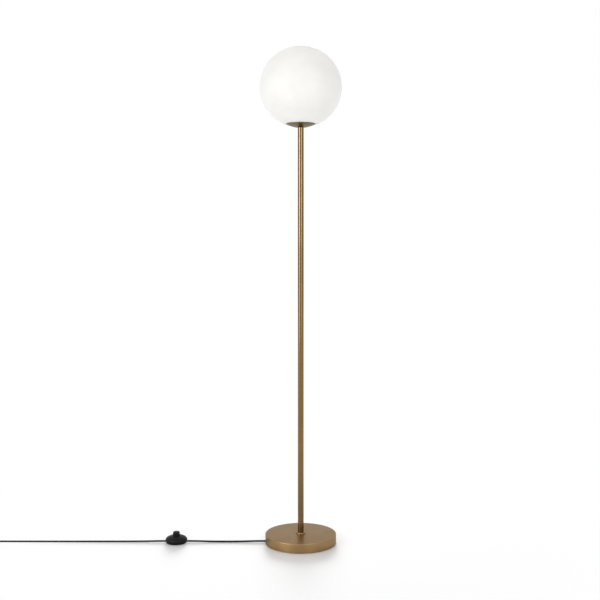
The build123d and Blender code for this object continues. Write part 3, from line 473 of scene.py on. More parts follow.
def rounded(corners: Sequence[tuple[float, ...]], closed: bool = True) -> list[Point]:
    """Rounds the corners of an outline.

    Args:
        corners: (radius, height) or (radius, height, rounding) of each corner, in millimetres.
        closed: True if the last corner joins the first.

    Returns:
        The outline's points.
    """
    points: list[Point] = []
    count = len(corners)
    for index, corner in enumerate(corners):
        here = Vector(corner[:2])
        rounding = corner[2] if len(corner) > 2 else 0.0
        at_end = not closed and index in (0, count - 1)
        if rounding <= 0 or at_end:
            points.append((here.x, here.y))
            continue
        run_in = (here - Vector(corners[index - 1][:2])).normalized()
        run_out = (Vector(corners[(index + 1) % count][:2]) - here).normalized()
        turn = run_in.angle(run_out)
        start = here - run_in * rounding * math.tan(turn / 2)
        centre = here + (run_out - run_in).normalized() * rounding / math.cos(turn / 2)
        steps = max(3, round(math.degrees(turn) / ROUND_STEP))
        left = run_in.x * run_out.y - run_in.y * run_out.x > 0
        for step in range(steps + 1):
            angle = turn * step / steps * (1 if left else -1)
            spoke = start - centre
            across = spoke.x * math.cos(angle) - spoke.y * math.sin(angle)
            up = spoke.x * math.sin(angle) + spoke.y * math.cos(angle)
            points.append((centre.x + across, centre.y + up))
    return points


def heights(low: float, high: float, steps: int) -> list[float]:
    """Even heights from low to high, both included."""
    return [low + (high - low) * step / steps for step in range(steps + 1)]


# ---------------------------------------------------------------- meshes


def finish_mesh(piece: Piece, sharp_degrees: float = 32.0) -> None:
    """Merges doubles, points the faces outwards and shades them smooth between sharp edges.

    Args:
        piece: the piece to finish.
        sharp_degrees: edges that turn by more than this stay sharp.
    """
    shape = bmesh.new()
    shape.from_mesh(piece.data)
    bmesh.ops.remove_doubles(shape, verts=shape.verts, dist=SAME_SPOT)
    bmesh.ops.dissolve_degenerate(shape, dist=SAME_SPOT / 10, edges=shape.edges)
    bmesh.ops.recalc_face_normals(shape, faces=shape.faces)
    shape.to_mesh(piece.data)
    shape.free()
    piece.data.shade_smooth()
    piece.data.set_sharp_from_angle(angle=math.radians(sharp_degrees))


def add_object(name: str, data: bpy.types.ID) -> Piece:
    """Makes an object and links it to the scene.

    Args:
        name: the object's name.
        data: its mesh, curve, camera or light.

    Returns:
        The object.
    """
    piece = bpy.data.objects.new(name, data)
    bpy.context.scene.collection.objects.link(piece)
    return piece


def new_piece(name: str, vertices: Sequence[Place], faces: Sequence[Sequence[int]]) -> Piece:
    """Makes an object from points in millimetres and faces.

    Args:
        name: the object's name.
        vertices: the points.
        faces: the faces, as indices of points.

    Returns:
        The new object.
    """
    data = bpy.data.meshes.new(name)
    data.from_pydata([(x * MM, y * MM, z * MM) for x, y, z in vertices], [], faces)
    return add_object(name, data)


def loft(name: str, sections: Sequence[Sequence[Place]], ring: bool = False) -> Piece:
    """Joins sections of equal point counts into a closed skin.

    Args:
        name: the object's name.
        sections: the sections, each a loop of points in millimetres.
        ring: True if the last section joins the first, so that no end is capped.

    Returns:
        The new object.
    """
    count, layers = len(sections[0]), len(sections)
    vertices = [point for section in sections for point in section]
    faces: list[list[int]] = []
    for layer in range(layers if ring else layers - 1):
        low, high = layer * count, (layer + 1) % layers * count
        for step in range(count):
            after = (step + 1) % count
            faces.append([low + step, low + after, high + after, high + step])
    if not ring:
        faces.append(list(range(count))[::-1])
        faces.append(list(range(len(vertices) - count, len(vertices))))
    piece = new_piece(name, vertices, faces)
    finish_mesh(piece)
    return piece


def settle(piece: Piece) -> None:
    """Turns a piece's modifiers into its plain mesh.

    Args:
        piece: the piece.
    """
    bpy.context.view_layer.update()
    shape = piece.evaluated_get(bpy.context.evaluated_depsgraph_get())
    data = bpy.data.meshes.new_from_object(shape)
    piece.modifiers.clear()
    piece.data = data


def cut_notch(piece: Piece, ends: Point, half_width: float, axis_z: float) -> None:
    """Cuts a notch along X that is round on top and open to the floor.

    Args:
        piece: the piece that is cut.
        ends: lowest and highest X, in millimetres.
        half_width: half the notch's width.
        axis_z: height of the round's centre.
    """
    top = polar((0.0, axis_z), (half_width, half_width), 0.0, 180.0, steps=24)
    section = [(half_width, -BEYOND), *top, (-half_width, -BEYOND)]
    cutter = loft("notch", [[(x, y, z) for y, z in section] for x in ends])
    modifier = piece.modifiers.new("notch", "BOOLEAN")
    modifier.operation = "DIFFERENCE"
    modifier.solver = "EXACT"
    modifier.object = cutter
    settle(piece)
    bpy.data.objects.remove(cutter)
    finish_mesh(piece)


def dress(piece: Piece, finish: Finish) -> None:
    """Gives a piece its material.

    Args:
        piece: the piece.
        finish: its material.
    """
    piece.data.materials.clear()
    piece.data.materials.append(finish.build())
    for polygon in getattr(piece.data, "polygons", ()):
        polygon.material_index = 0


def place_piece(piece: Piece, finish: Finish, body: Body, *nodes: str) -> Piece:
    """Dresses a new piece, lets it ride on its body and stand for CAD nodes.

    Args:
        piece: the new piece.
        finish: its material.
        body: the body that it rides on.
        nodes: the CAD nodes that it stands for.

    Returns:
        The same piece.
    """
    dress(piece, finish)
    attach(piece, body.value)
    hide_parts(*nodes)
    LOG.info("%s stands for %s on %s", piece.name, ", ".join(nodes), body.value)
    return piece


def dress_nodes(finish: Finish, *nodes: str) -> list[Piece]:
    """Gives CAD nodes that keep their shape their material.

    Args:
        finish: the material.
        nodes: the CAD nodes.

    Returns:
        The nodes' objects.
    """
    pieces = [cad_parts[node] for node in nodes]
    for piece in pieces:
        dress(piece, finish)
        LOG.info("%s keeps its CAD shape, in %s", piece.name, finish.name)
    return pieces


# ---------------------------------------------------------------- geometry node trees


class NodeShape:
    """A piece made by a tree of geometry nodes with named inputs."""

    def __init__(self, name: str, finish: Finish, start: Sequence[Place] = ()) -> None:
        """Starts an empty tree.

        Args:
            name: the piece's name.
            finish: the material that the tree sets.
            start: points that go into the tree, in millimetres.
        """
        self.piece = new_piece(name, start, [])
        self.finish = finish
        self.tree = bpy.data.node_groups.new(name, "GeometryNodeTree")
        self.values: dict[str, float | int] = {}
        for way in ("INPUT", "OUTPUT"):
            self.tree.interface.new_socket("Geometry", in_out=way, socket_type="NodeSocketGeometry")
        self.entry = self.tree.nodes.new("NodeGroupInput")

    def size(self, name: str, value: float | int) -> Socket:
        """Adds a named input of the tree.

        Args:
            name: the input's name.
            value: its value, whole or not.

        Returns:
            The input's socket.
        """
        kind = "NodeSocketInt" if isinstance(value, int) else "NodeSocketFloat"
        item = self.tree.interface.new_socket(name, in_out="INPUT", socket_type=kind)
        self.values[item.identifier] = value
        return self.entry.outputs[name]

    def build(self, geometry: Socket, foot: Place, sharp_degrees: float = 32.0, tilt: float = 0.0) -> Piece:
        """Stands the tree's result in its place, ends the tree and turns it into a plain mesh.

        Args:
            geometry: the tree's result.
            foot: where its origin goes, in millimetres.
            sharp_degrees: edges that turn by more than this stay sharp.
            tilt: how far it is turned about Y, in degrees.

        Returns:
            The piece, with its modifier gone.
        """
        sides = {index: self.size(f"Foot {axis}", foot[index] * MM) for index, axis in enumerate("XYZ")}
        stand = {
            "Geometry": geometry,
            "Translation": add_node(self.tree, "ShaderNodeCombineXYZ", sides).outputs[0],
            "Rotation": (0.0, math.radians(tilt), 0.0),
        }
        placed = add_node(self.tree, "GeometryNodeTransform", stand).outputs[0]
        real = add_node(self.tree, "GeometryNodeRealizeInstances", {"Geometry": placed}).outputs[0]
        coat = {"Geometry": real, "Material": self.finish.build()}
        painted = add_node(self.tree, "GeometryNodeSetMaterial", coat).outputs[0]
        add_node(self.tree, "NodeGroupOutput", {"Geometry": painted})
        modifier = self.piece.modifiers.new(self.piece.name, "NODES")
        modifier.node_group = self.tree
        for identifier, value in self.values.items():
            modifier[identifier] = value
        settle(self.piece)
        finish_mesh(self.piece, sharp_degrees)
        return self.piece


@dataclass(frozen=True)
class Ridges:
    """Ridges that stand on a turned piece, straight, round it, or as a thread."""

    count: int  # Ridges round the piece, or 0 for rings round it.
    pitch: float  # How far a thread climbs in one turn, or the spacing of rings, or 0 for straight ridges.
    depth: float  # How deep the valleys are, in millimetres.
    low: float  # Where the ridges begin.
    high: float  # Where they end.
    min_radius: float  # Only what lies further out than this has ridges.
    valley: float = 1.0  # Share of the spacing that the valley takes.

    def depth_at(self, radius: float, height: float) -> float:
        """Depth of the valleys at a point of the outline."""
        return self.depth if radius > self.min_radius and self.low < height < self.high else 0.0


@dataclass
class Turning:
    """A piece turned on a lathe, whose outline runs round a vertical axis."""

    name: str  # The piece's name.
    finish: Finish  # Its material.
    outline: list[Point]  # (radius, height) points, closed, or with both ends on the axis.
    segments: int = 96  # Faces round the axis.
    foot: Place = (0.0, 0.0, 0.0)  # The point of the axis where the height is 0, in millimetres.
    lies: bool = False  # True for a piece that is laid down, with its top towards -X.
    ridges: Ridges | None = None  # The ridges on it, if it has any.
    sharp_degrees: float = 32.0  # Edges that turn by more than this stay sharp.

    def points(self) -> list[Place]:
        """Closes the outline, unless it ends on the axis.

        Returns:
            Radius, depth of the valleys and height of each point.
        """
        line = list(self.outline)
        if line[0][0] > SAME_SPOT or line[-1][0] > SAME_SPOT:
            line.append(line[0])
        depths = [self.ridges.depth_at(*point) if self.ridges else 0.0 for point in line]
        return [(radius, depth, height) for (radius, height), depth in zip(line, depths)]

    def build(self) -> Piece:
        """Turns the outline with geometry nodes.

        Returns:
            The piece.
        """
        points = self.points()
        shape = NodeShape(self.name, self.finish, points)
        tree = shape.tree
        segments = shape.size("Segments", self.segments)
        more = add_node(tree, "FunctionNodeIntegerMath", {0: segments, 1: 1}, operation="ADD")
        around = more.outputs[0]
        sheet = {"Vertices X": shape.size("Outline points", len(points)), "Vertices Y": around}
        grid = add_node(tree, "GeometryNodeMeshGrid", sheet).outputs[0]
        place = {0: add_node(tree, "GeometryNodeInputIndex").outputs[0], 1: around}
        row = add_node(tree, "FunctionNodeIntegerMath", place, operation="DIVIDE_FLOOR").outputs[0]
        step = add_node(tree, "FunctionNodeIntegerMath", place, operation="MODULO").outputs[0]
        turn = {"Value": step, "From Max": segments, "To Max": 2 * math.pi}
        angle = add_node(tree, "ShaderNodeMapRange", turn).outputs[0]
        source = {
            "Geometry": shape.entry.outputs["Geometry"],
            "Value": add_node(tree, "GeometryNodeInputPosition").outputs[0],
            "Index": row,
        }
        sample = add_node(tree, "GeometryNodeSampleIndex", source, data_type="FLOAT_VECTOR").outputs[0]
        radius, depth, height = add_node(tree, "ShaderNodeSeparateXYZ", {0: sample}).outputs
        if self.ridges:
            radius = self.carve(shape, radius, depth, height, angle)
        flat = add_node(tree, "ShaderNodeCombineXYZ", {0: radius, 2: height}).outputs[0]
        spin = {"Vector": flat, "Angle": angle}
        spot = add_node(tree, "ShaderNodeVectorRotate", spin, rotation_type="Z_AXIS").outputs[0]
        turned = add_node(tree, "GeometryNodeSetPosition", {"Geometry": grid, "Position": spot}).outputs[0]
        seams = {"Geometry": turned, "Distance": SAME_SPOT}
        joined = add_node(tree, "GeometryNodeMergeByDistance", seams).outputs[0]
        return shape.build(joined, self.foot, self.sharp_degrees, -90.0 if self.lies else 0.0)

    def stand_for(self, body: Body, *nodes: str) -> Piece:
        """Builds the piece and lets it stand for CAD nodes on its body."""
        return place_piece(self.build(), self.finish, body, *nodes)

    def carve(
        self, shape: NodeShape, radius: Socket, depth: Socket, height: Socket, angle: Socket
    ) -> Socket:
        """Takes the valleys between the ridges out of the radius.

        Args:
            shape: the tree.
            radius: the outline's radius.
            depth: how deep the valleys are there.
            height: the outline's height.
            angle: angle round the axis.

        Returns:
            The radius with its ridges.
        """
        tree, pitch = shape.tree, self.ridges.pitch * MM
        climb = shape.size("Ridge climb", -2 * math.pi / pitch if pitch else 0.0)
        turns = {0: angle, 1: shape.size("Ridge count", float(self.ridges.count))}
        straight = add_node(tree, "ShaderNodeMath", turns, operation="MULTIPLY").outputs[0]
        slope = {0: height, 1: climb, 2: straight}
        phase = add_node(tree, "ShaderNodeMath", slope, operation="MULTIPLY_ADD").outputs[0]
        wave = add_node(tree, "ShaderNodeMath", {0: phase}, operation="COSINE").outputs[0]
        narrow = shape.size("Valley edge", math.cos(math.pi * self.ridges.valley))
        valley = {"Value": wave, "From Min": narrow, "To Max": depth}
        left = {0: radius, 1: add_node(tree, "ShaderNodeMapRange", valley).outputs[0]}
        return add_node(tree, "ShaderNodeMath", left, operation="SUBTRACT").outputs[0]


# ---------------------------------------------------------------- camera and studio


@dataclass
class Viewpoint:
    """The photograph's camera, level and looking along +Y."""

    place: Place = (0.0, -2.818, 0.8913)  # The lens's place, in metres.
    lens_mm: float = 55.54  # Focal length.
    sensor_mm: float = 36.0  # Width of the sensor.
    shift: Point = (-0.00125, -0.0841)  # How far the frame is moved off the lens's axis, in frame widths.
    reach: float = 60.0  # How far the camera sees, in metres.

    def build(self) -> None:
        """Makes the scene's camera."""
        data = bpy.data.cameras.new("camera")
        data.sensor_fit = "HORIZONTAL"
        data.sensor_width = self.sensor_mm
        data.lens = self.lens_mm
        data.shift_x, data.shift_y = self.shift
        data.clip_end = self.reach
        camera = add_object("camera", data)
        camera.location = self.place
        camera.rotation_euler = (math.radians(90), 0.0, 0.0)
        bpy.context.scene.camera = camera
        LOG.info("camera stands %.3f m from the pole", -self.place[1])


@dataclass
class SoftBox:
    """A rectangular studio light."""

    name: str  # The light's name.
    place: Place  # Its middle, in metres.
    aim: Place  # The point that it faces.
    size: Point  # Width and height, in metres.
    radiance: float  # How bright its face is, where white paper in plain light is 1.
    spread: float = 180.0  # Angle to which its grid narrows the light, in degrees, or 180 without a grid.
    mirrored: bool = False  # True for a strip that only reflections see, False for a box that only lights.

    def build(self) -> None:
        """Makes the light."""
        data = bpy.data.lights.new(self.name, "AREA")
        data.shape = "RECTANGLE"
        data.size, data.size_y = self.size
        data.spread = math.radians(self.spread)
        data.energy = self.radiance * math.pi * self.size[0] * self.size[1]
        lamp = add_object(self.name, data)
        lamp.location = self.place
        facing = Vector(self.aim) - Vector(self.place)
        lamp.rotation_euler = facing.to_track_quat("-Z", "Y").to_euler()
        lamp.visible_camera = lamp.visible_glossy = self.mirrored
        lamp.visible_diffuse = not self.mirrored


@dataclass
class Studio:
    """White room with a pale floor, soft boxes in front of the lamp and a low gridded one behind it.

    Each soft box in front has a wider, evener strip at its place, which only reflections see. It draws the
    bright lines on the brass.
    """

    ambient: float = 0.83  # How bright the room is as a light.
    floor_tone: str = "#D9D9D9"  # Colour of the floor.
    # Distances from the lamp, in metres, between which the floor that is seen turns plain white.
    fade: Point = (0.28, 1.0)
    mirrored: float = 1.5  # How bright that white is in a reflection, where 1 is the room.
    floor_half: float = 12.0  # Half the floor's width, in metres.
    left: Point = (-1.53, -1.29)  # Where the lights on the left stand, in metres.
    right: Point = (1.0, -1.73)  # Where the lights on the right stand.

    def lights(self) -> list[SoftBox]:
        """Lists the soft boxes and strips.

        Returns:
            The lights.
        """
        # Name, side, height, height of the aim, size, radiance, and True where only reflections see it.
        boxes = (
            ("box_left_high", self.left, 1.35, 1.1, (0.42, 0.8), 7.2, False),
            ("box_left_low", self.left, 0.62, 0.6, (0.42, 0.65), 2.4, False),
            ("box_right_high", self.right, 1.35, 1.1, (0.36, 0.8), 4.8, False),
            ("box_right_low", self.right, 0.62, 0.6, (0.36, 0.65), 2.2, False),
            ("strip_left", self.left, 1.4, 1.1, (1.0, 0.9), 9.0, True),
            ("strip_left_low", self.left, 0.7, 0.7, (1.0, 0.56), 4.2, True),
            ("strip_right", self.right, 1.4, 1.1, (0.85, 0.9), 5.6, True),
            ("strip_right_low", self.right, 0.73, 0.7, (0.85, 0.5), 2.3, True),
        )
        lights = [
            SoftBox(name, (*side, z), (0.0, 0.0, aim), size, radiance, mirrored=mirrored)
            for name, side, z, aim, size, radiance, mirrored in boxes
        ]
        behind = SoftBox("box_behind", (0.0, 2.5, 0.62), (0.0, -0.3, 0.0), (3.0, 0.9), 2.6, spread=36.0)
        return [*lights, behind]

    @staticmethod
    def seen(tree: Tree) -> Socket:
        """Finds where the camera, a reflection or a view through glass meets the surface.

        Args:
            tree: the surface's tree.

        Returns:
            1 there, and 0 elsewhere.
        """
        path = add_node(tree, "ShaderNodeLightPath")
        names = ("Is Camera Ray", "Is Glossy Ray", "Is Transmission Ray")
        camera, glossy, through = (path.outputs[name] for name in names)
        direct = add_node(tree, "ShaderNodeMath", {0: camera, 1: glossy}, operation="MAXIMUM").outputs[0]
        return add_node(tree, "ShaderNodeMath", {0: direct, 1: through}, operation="MAXIMUM").outputs[0]

    def build_world(self) -> None:
        """Makes the white surroundings, which light the object at the ambient level."""
        world = bpy.data.worlds.new("white_room")
        tree = empty_tree(world)
        light = add_node(tree, "ShaderNodeBackground", {"Color": WHITE, "Strength": self.ambient})
        shown = add_node(tree, "ShaderNodeBackground", {"Color": WHITE, "Strength": 1.0})
        both = {0: self.seen(tree), 1: light.outputs[0], 2: shown.outputs[0]}
        mix = add_node(tree, "ShaderNodeMixShader", both)
        add_node(tree, "ShaderNodeOutputWorld", {"Surface": mix.outputs[0]})
        bpy.context.scene.world = world

    def build_floor(self) -> None:
        """Makes the satin floor, which keeps the object's shadow and ends white far from it."""
        half = self.floor_half / MM
        corners = [(-half, -half, 0.0), (half, -half, 0.0), (half, half, 0.0), (-half, half, 0.0)]
        floor = new_piece("studio_floor", corners, [[0, 1, 2, 3]])
        material = bpy.data.materials.new("satin_white_board")
        tree = empty_tree(material)
        satin = {"Base Color": linear(self.floor_tone), "Roughness": 0.45, "IOR": 1.5}
        board = add_node(tree, "ShaderNodeBsdfPrincipled", satin)
        place = add_node(tree, "ShaderNodeTexCoord").outputs["Object"]
        away = add_node(tree, "ShaderNodeVectorMath", {0: place}, operation="LENGTH").outputs["Value"]
        far = {"Value": away, "From Min": self.fade[0], "From Max": self.fade[1]}
        share = add_node(tree, "ShaderNodeMapRange", far, interpolation_type="SMOOTHSTEP").outputs[0]
        parts = {0: self.seen(tree), 1: share}
        shown = add_node(tree, "ShaderNodeMath", parts, operation="MULTIPLY")
        mirror = add_node(tree, "ShaderNodeLightPath").outputs["Is Glossy Ray"]
        level = {"Value": mirror, "To Min": 1.0, "To Max": self.mirrored}
        strength = add_node(tree, "ShaderNodeMapRange", level).outputs[0]
        glow = add_node(tree, "ShaderNodeEmission", {"Strength": strength})
        both = {0: shown.outputs[0], 1: board.outputs[0], 2: glow.outputs[0]}
        mix = add_node(tree, "ShaderNodeMixShader", both)
        add_node(tree, "ShaderNodeOutputMaterial", {"Surface": mix.outputs[0]})
        floor.data.materials.append(material)
        floor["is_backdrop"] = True

    def build(self) -> None:
        """Builds the room, the floor and the lights, and sets the view transform."""
        self.build_world()
        self.build_floor()
        lights = self.lights()
        for light in lights:
            light.build()
        bpy.context.scene.view_settings.view_transform = "Standard"
        LOG.info("studio has %d lights", len(lights))


# ---------------------------------------------------------------- sizes that several pieces share


@dataclass(frozen=True)
class Sizes:
    """Sizes in millimetres that several pieces share, the same as in the model's source."""

    cord_r: float = 2.6
    cord_exit_z: float = 4.2
    cord_lie_z: float = 2.8
    bush_face_x: float = -108.3  # Where the cord leaves the base.
    nut_low: float = 16.3  # Underside of the nut in the base.
    holder_top: float = 1284.9
    switch_x: float = -378.6
    switch_r: float = 32.8
    switch_cord_end: float = 13.5  # From the switch's axis to the clamped end of a cord.
    pole_r: float = 9.0
    base_h: float = 28.0
    pole_top: float = 1262.4
    coil_x: float = -979.0
    coil_low_z: float = 3.6
    coil_outer_r: float = 37.5
    coil_pitch: float = 5.8
    coil_layer_step: float = 5.7
    coil_layer_turns: float = 2.75
    coil_climb_turns: float = 0.5  # Turns in which the cord climbs to the second layer.
    tail_len: float = 48.0  # Cord between the coil and the plug's boot.
    plug_z: float = 7.05

    @property
    def lead_angle(self) -> float:
        """Angle at which the cord runs into the coil, in radians."""
        return math.atan(self.coil_pitch / (2 * math.pi * self.coil_outer_r))

    @property
    def boot_x(self) -> float:
        """Where the cord enters the plug's boot."""
        out = 4 * self.cord_r + 2 * self.coil_outer_r * math.sin(self.lead_angle)
        return self.coil_x - out - self.tail_len


SIZES = Sizes()


# ---------------------------------------------------------------- cord


@dataclass
class FlexCord:
    """The cord: from the base to the switch, on to the coil and plug, and up inside the pole."""

    lead_in: float = 30.0  # Length that leaves a housing level, in millimetres.
    lead_drop: float = 75.0  # Length in which the cord comes down to the floor.
    coil_points: int = 16  # Control points in each turn of the coil.
    to_switch_m: float = 0.2375  # Length of the cord to the switch, in metres.
    to_plug_m: float = 1.715  # Length of the cord from the switch to the plug, in metres.

    def switch_route(self) -> list[Place]:
        """Lays the cord from the base's bush to the foot switch.

        Returns:
            Its control points.
        """
        start, end = SIZES.bush_face_x, SIZES.switch_x + SIZES.switch_r
        high, low = SIZES.cord_exit_z, SIZES.cord_lie_z
        lengths = ((0.0, high), (self.lead_in, high), (self.lead_drop, low))
        down = [(start - length, 0.0, height) for length, height in lengths]
        return down + [(end + length, 0.0, height) for length, height in reversed(lengths)]

    def coil_place(self, turn: float, outset: float) -> Place:
        """Control point of the coil after a number of turns.

        Args:
            turn: turns from the coil's start.
            outset: how much further out a control point lies than the cord that it draws.

        Returns:
            The point, in millimetres.
        """
        middle_x = SIZES.coil_x - 2 * SIZES.cord_r - SIZES.coil_outer_r * math.sin(SIZES.lead_angle)
        middle_y = -SIZES.coil_outer_r * math.cos(SIZES.lead_angle)
        inner = SIZES.coil_outer_r - SIZES.coil_pitch * SIZES.coil_layer_turns
        climb = turn - SIZES.coil_layer_turns
        share = min(max(climb / SIZES.coil_climb_turns, 0.0), 1.0)
        if climb < 0:
            radius = SIZES.coil_outer_r - SIZES.coil_pitch * turn
        elif share < 1:
            radius = inner - SIZES.coil_pitch * climb * (1 - share)
        else:
            radius = inner + SIZES.coil_pitch * (climb - SIZES.coil_climb_turns)
        angle = math.pi / 2 - SIZES.lead_angle + 2 * math.pi * turn
        height = SIZES.coil_low_z + SIZES.coil_layer_step * share**2 * (3 - 2 * share)
        radius *= outset
        return (middle_x + radius * math.cos(angle), middle_y + radius * math.sin(angle), height)

    def plug_route(self) -> list[Place]:
        """Lays the cord from the foot switch through the coil to the plug.

        Returns:
            Its control points.
        """
        start = SIZES.switch_x - SIZES.switch_r
        outset = 4 / (3 + math.cos(2 * math.pi / self.coil_points))
        count = round((2 * SIZES.coil_layer_turns + SIZES.coil_climb_turns) * self.coil_points)
        coil = [self.coil_place((index + 0.5) / self.coil_points, outset) for index in range(count)]
        high = SIZES.coil_low_z + SIZES.coil_layer_step
        lead = (
            (start, SIZES.cord_exit_z),
            (start - self.lead_in, SIZES.cord_exit_z),
            (start - self.lead_drop, SIZES.cord_lie_z),
            (SIZES.coil_x + 2 * self.lead_in, SIZES.cord_lie_z),
            (SIZES.coil_x + self.lead_in, SIZES.coil_low_z),
            (SIZES.coil_x, SIZES.coil_low_z),
        )
        # Shares of the end's length, with their heights, as the cord comes down from the coil to the plug.
        shares = ((1.0, high), (0.7, high), (0.3, SIZES.plug_z), (0.0, SIZES.plug_z))
        tail = [(SIZES.boot_x + share * SIZES.tail_len, 0.0, z) for share, z in shares]
        return [*((x, 0.0, z) for x, z in lead), *coil, *tail]

    def inner_route(self) -> list[Place]:
        """Lays the cord from the bush across the base and up the pole to the lamp holder.

        Returns:
            Its control points.
        """
        low, bend = SIZES.cord_exit_z, SIZES.nut_low - SIZES.cord_exit_z
        along = [(x, 0.0, low) for x in (SIZES.bush_face_x, -2 * bend, 0.0)]
        return along + [(0.0, 0.0, z) for z in (low + 2 * bend, SIZES.holder_top)]

    def stub_routes(self) -> list[list[Place]]:
        """Lays the short ends of cord from the switch's walls to its two clamps.

        Returns:
            The control points of each.
        """
        routes = []
        for side in (-1, 1):
            ends = (SIZES.switch_x + side * SIZES.switch_r, SIZES.switch_x + side * SIZES.switch_cord_end)
            spots = (ends[0], (ends[0] + ends[1]) / 2, ends[1])
            routes.append([(x, 0.0, SIZES.cord_exit_z) for x in spots])
        return routes

    def draw(self, name: str, *routes: Sequence[Place]) -> Piece:
        """Draws round cord on smooth splines whose control points are the routes.

        Args:
            name: the object's name.
            routes: the control points of each spline, in millimetres.

        Returns:
            The curve.
        """
        data = bpy.data.curves.new(name, "CURVE")
        data.dimensions = "3D"
        data.bevel_depth = SIZES.cord_r * MM
        data.bevel_resolution = 5
        data.resolution_u = 8
        data.use_fill_caps = True
        for route in routes:
            spline = data.splines.new("NURBS")
            spline.points.add(len(route) - 1)
            for point, (x, y, z) in zip(spline.points, route):
                point.co = (x * MM, y * MM, z * MM, 1.0)
            spline.order_u = 3
            spline.use_endpoint_u = True
        return add_object(name, data)

    def build(self) -> tuple[Piece, Piece]:
        """Builds all stretches of the cord but those in the switch.

        Returns:
            The two free ones.
        """
        to_switch = self.draw("flex_base_to_switch", self.switch_route())
        place_piece(to_switch, FLEX_VINYL, Body.LAMP, "cord_base_to_switch")
        to_plug = self.draw("flex_switch_to_plug", self.plug_route())
        nodes = ("cord_switch_to_coil", "cord_coil", "cord_coil_to_plug")
        place_piece(to_plug, FLEX_VINYL, Body.LAMP, *nodes)
        inside = self.draw("flex_inside_pole", self.inner_route())
        place_piece(inside, FLEX_VINYL, Body.LAMP, "inner_cord")
        for cord in (to_switch, to_plug):
            LOG.info("%s is %.4f m long", cord.name, cord.data.splines[0].calc_length())
        return to_switch, to_plug

    def declare(self, cords: tuple[Piece, Piece], hung: tuple[Sequence[Piece], Sequence[Piece]]) -> None:
        """Goes through the two free cords and the pieces on each, without declaring anything about them.

        Args:
            cords: the cord to the switch, and the one from it to the plug.
            hung: the pieces on each.
        """
        starts = (SIZES.bush_face_x, SIZES.switch_x - SIZES.switch_r)
        facts = ((self.to_switch_m, "fitting"), (self.to_plug_m, "plug"))
        for cord, pieces, start, (length, end) in zip(cords, hung, starts, facts):
            list(pieces)


# ---------------------------------------------------------------- glass globe


@dataclass
class GlassGlobe:
    """The opal globe with its flat foot and hole."""

    radius: float = 125.0  # Half width outside.
    half_height: float = 122.8  # Half height outside, before the foot was cut flat.
    low: float = 1274.9  # Height of the foot's underside.
    foot_cut: float = 12.0  # How much the foot took off the globe's height.
    wall: float = 3.0  # Thickness of the glass.
    hole_r: float = 40.0  # Radius of the hole.
    shoulder_r: float = 20.0  # Rounding between the side and the foot.
    edge_r: float = 0.8  # Rounding of the hole's edges.
    lip_w: float = 3.0  # Width of the flat glass round the hole that the edges are cut from.
    halvings: int = 50  # Steps in which the start of the shoulder is found.

    @property
    def middle(self) -> float:
        """Height of the globe's widest ring."""
        return self.low + self.half_height - self.foot_cut

    def shoulder(self) -> tuple[float, float, Point]:
        """Finds where the side runs into the shoulder, by halving the range of angles.

        Returns:
            The side's angle there, its slope in degrees, and the shoulder's centre.
        """
        low_angle, high_angle = -math.pi / 2, 0.0
        angle, normal, centre = 0.0, Vector((1.0, 0.0)), Vector((0.0, 0.0))
        for _ in range(self.halvings):
            angle = (low_angle + high_angle) / 2
            run, rise = math.cos(angle), math.sin(angle)
            normal = Vector((run / self.radius, rise / self.half_height)).normalized()
            side = Vector((self.radius * run, self.middle + self.half_height * rise))
            centre = side - normal * self.shoulder_r
            if centre.y > self.low + self.shoulder_r:
                high_angle = angle
            else:
                low_angle = angle
        return math.degrees(angle), math.degrees(math.atan2(normal.y, normal.x)), (centre.x, centre.y)

    def outline(self) -> list[Point]:
        """Draws the wall, down the outside, round the foot and up the inside.

        Returns:
            The outline's points.
        """
        angle, slope, centre = self.shoulder()
        outside = polar((0.0, self.middle), (self.radius, self.half_height), 90.0, angle, steps=64)
        foot = polar(centre, (self.shoulder_r, self.shoulder_r), slope, -90.0, steps=10)
        inner = (self.radius - self.wall, self.half_height - self.wall)
        flat_angle = -math.degrees(math.asin((self.middle - self.low - self.wall) / inner[1]))
        inside = polar((0.0, self.middle), inner, flat_angle, 90.0, steps=64)
        roof, lip_r = self.low + self.wall, self.hole_r + self.lip_w
        edges = [(self.hole_r, self.low, self.edge_r), (self.hole_r, roof, self.edge_r)]
        lip = rounded([(lip_r, self.low), *edges, (lip_r, roof)], closed=False)
        outside[0] = (0.0, self.middle + self.half_height)
        inside[-1] = (0.0, self.middle + inner[1])
        return outside + foot[1:] + lip + inside

    def build(self) -> None:
        """Builds the globe."""
        globe = Turning("opal_globe", OPAL, self.outline(), segments=144, sharp_degrees=50.0)
        globe.stand_for(Body.GLOBE, "globe")


# ---------------------------------------------------------------- base


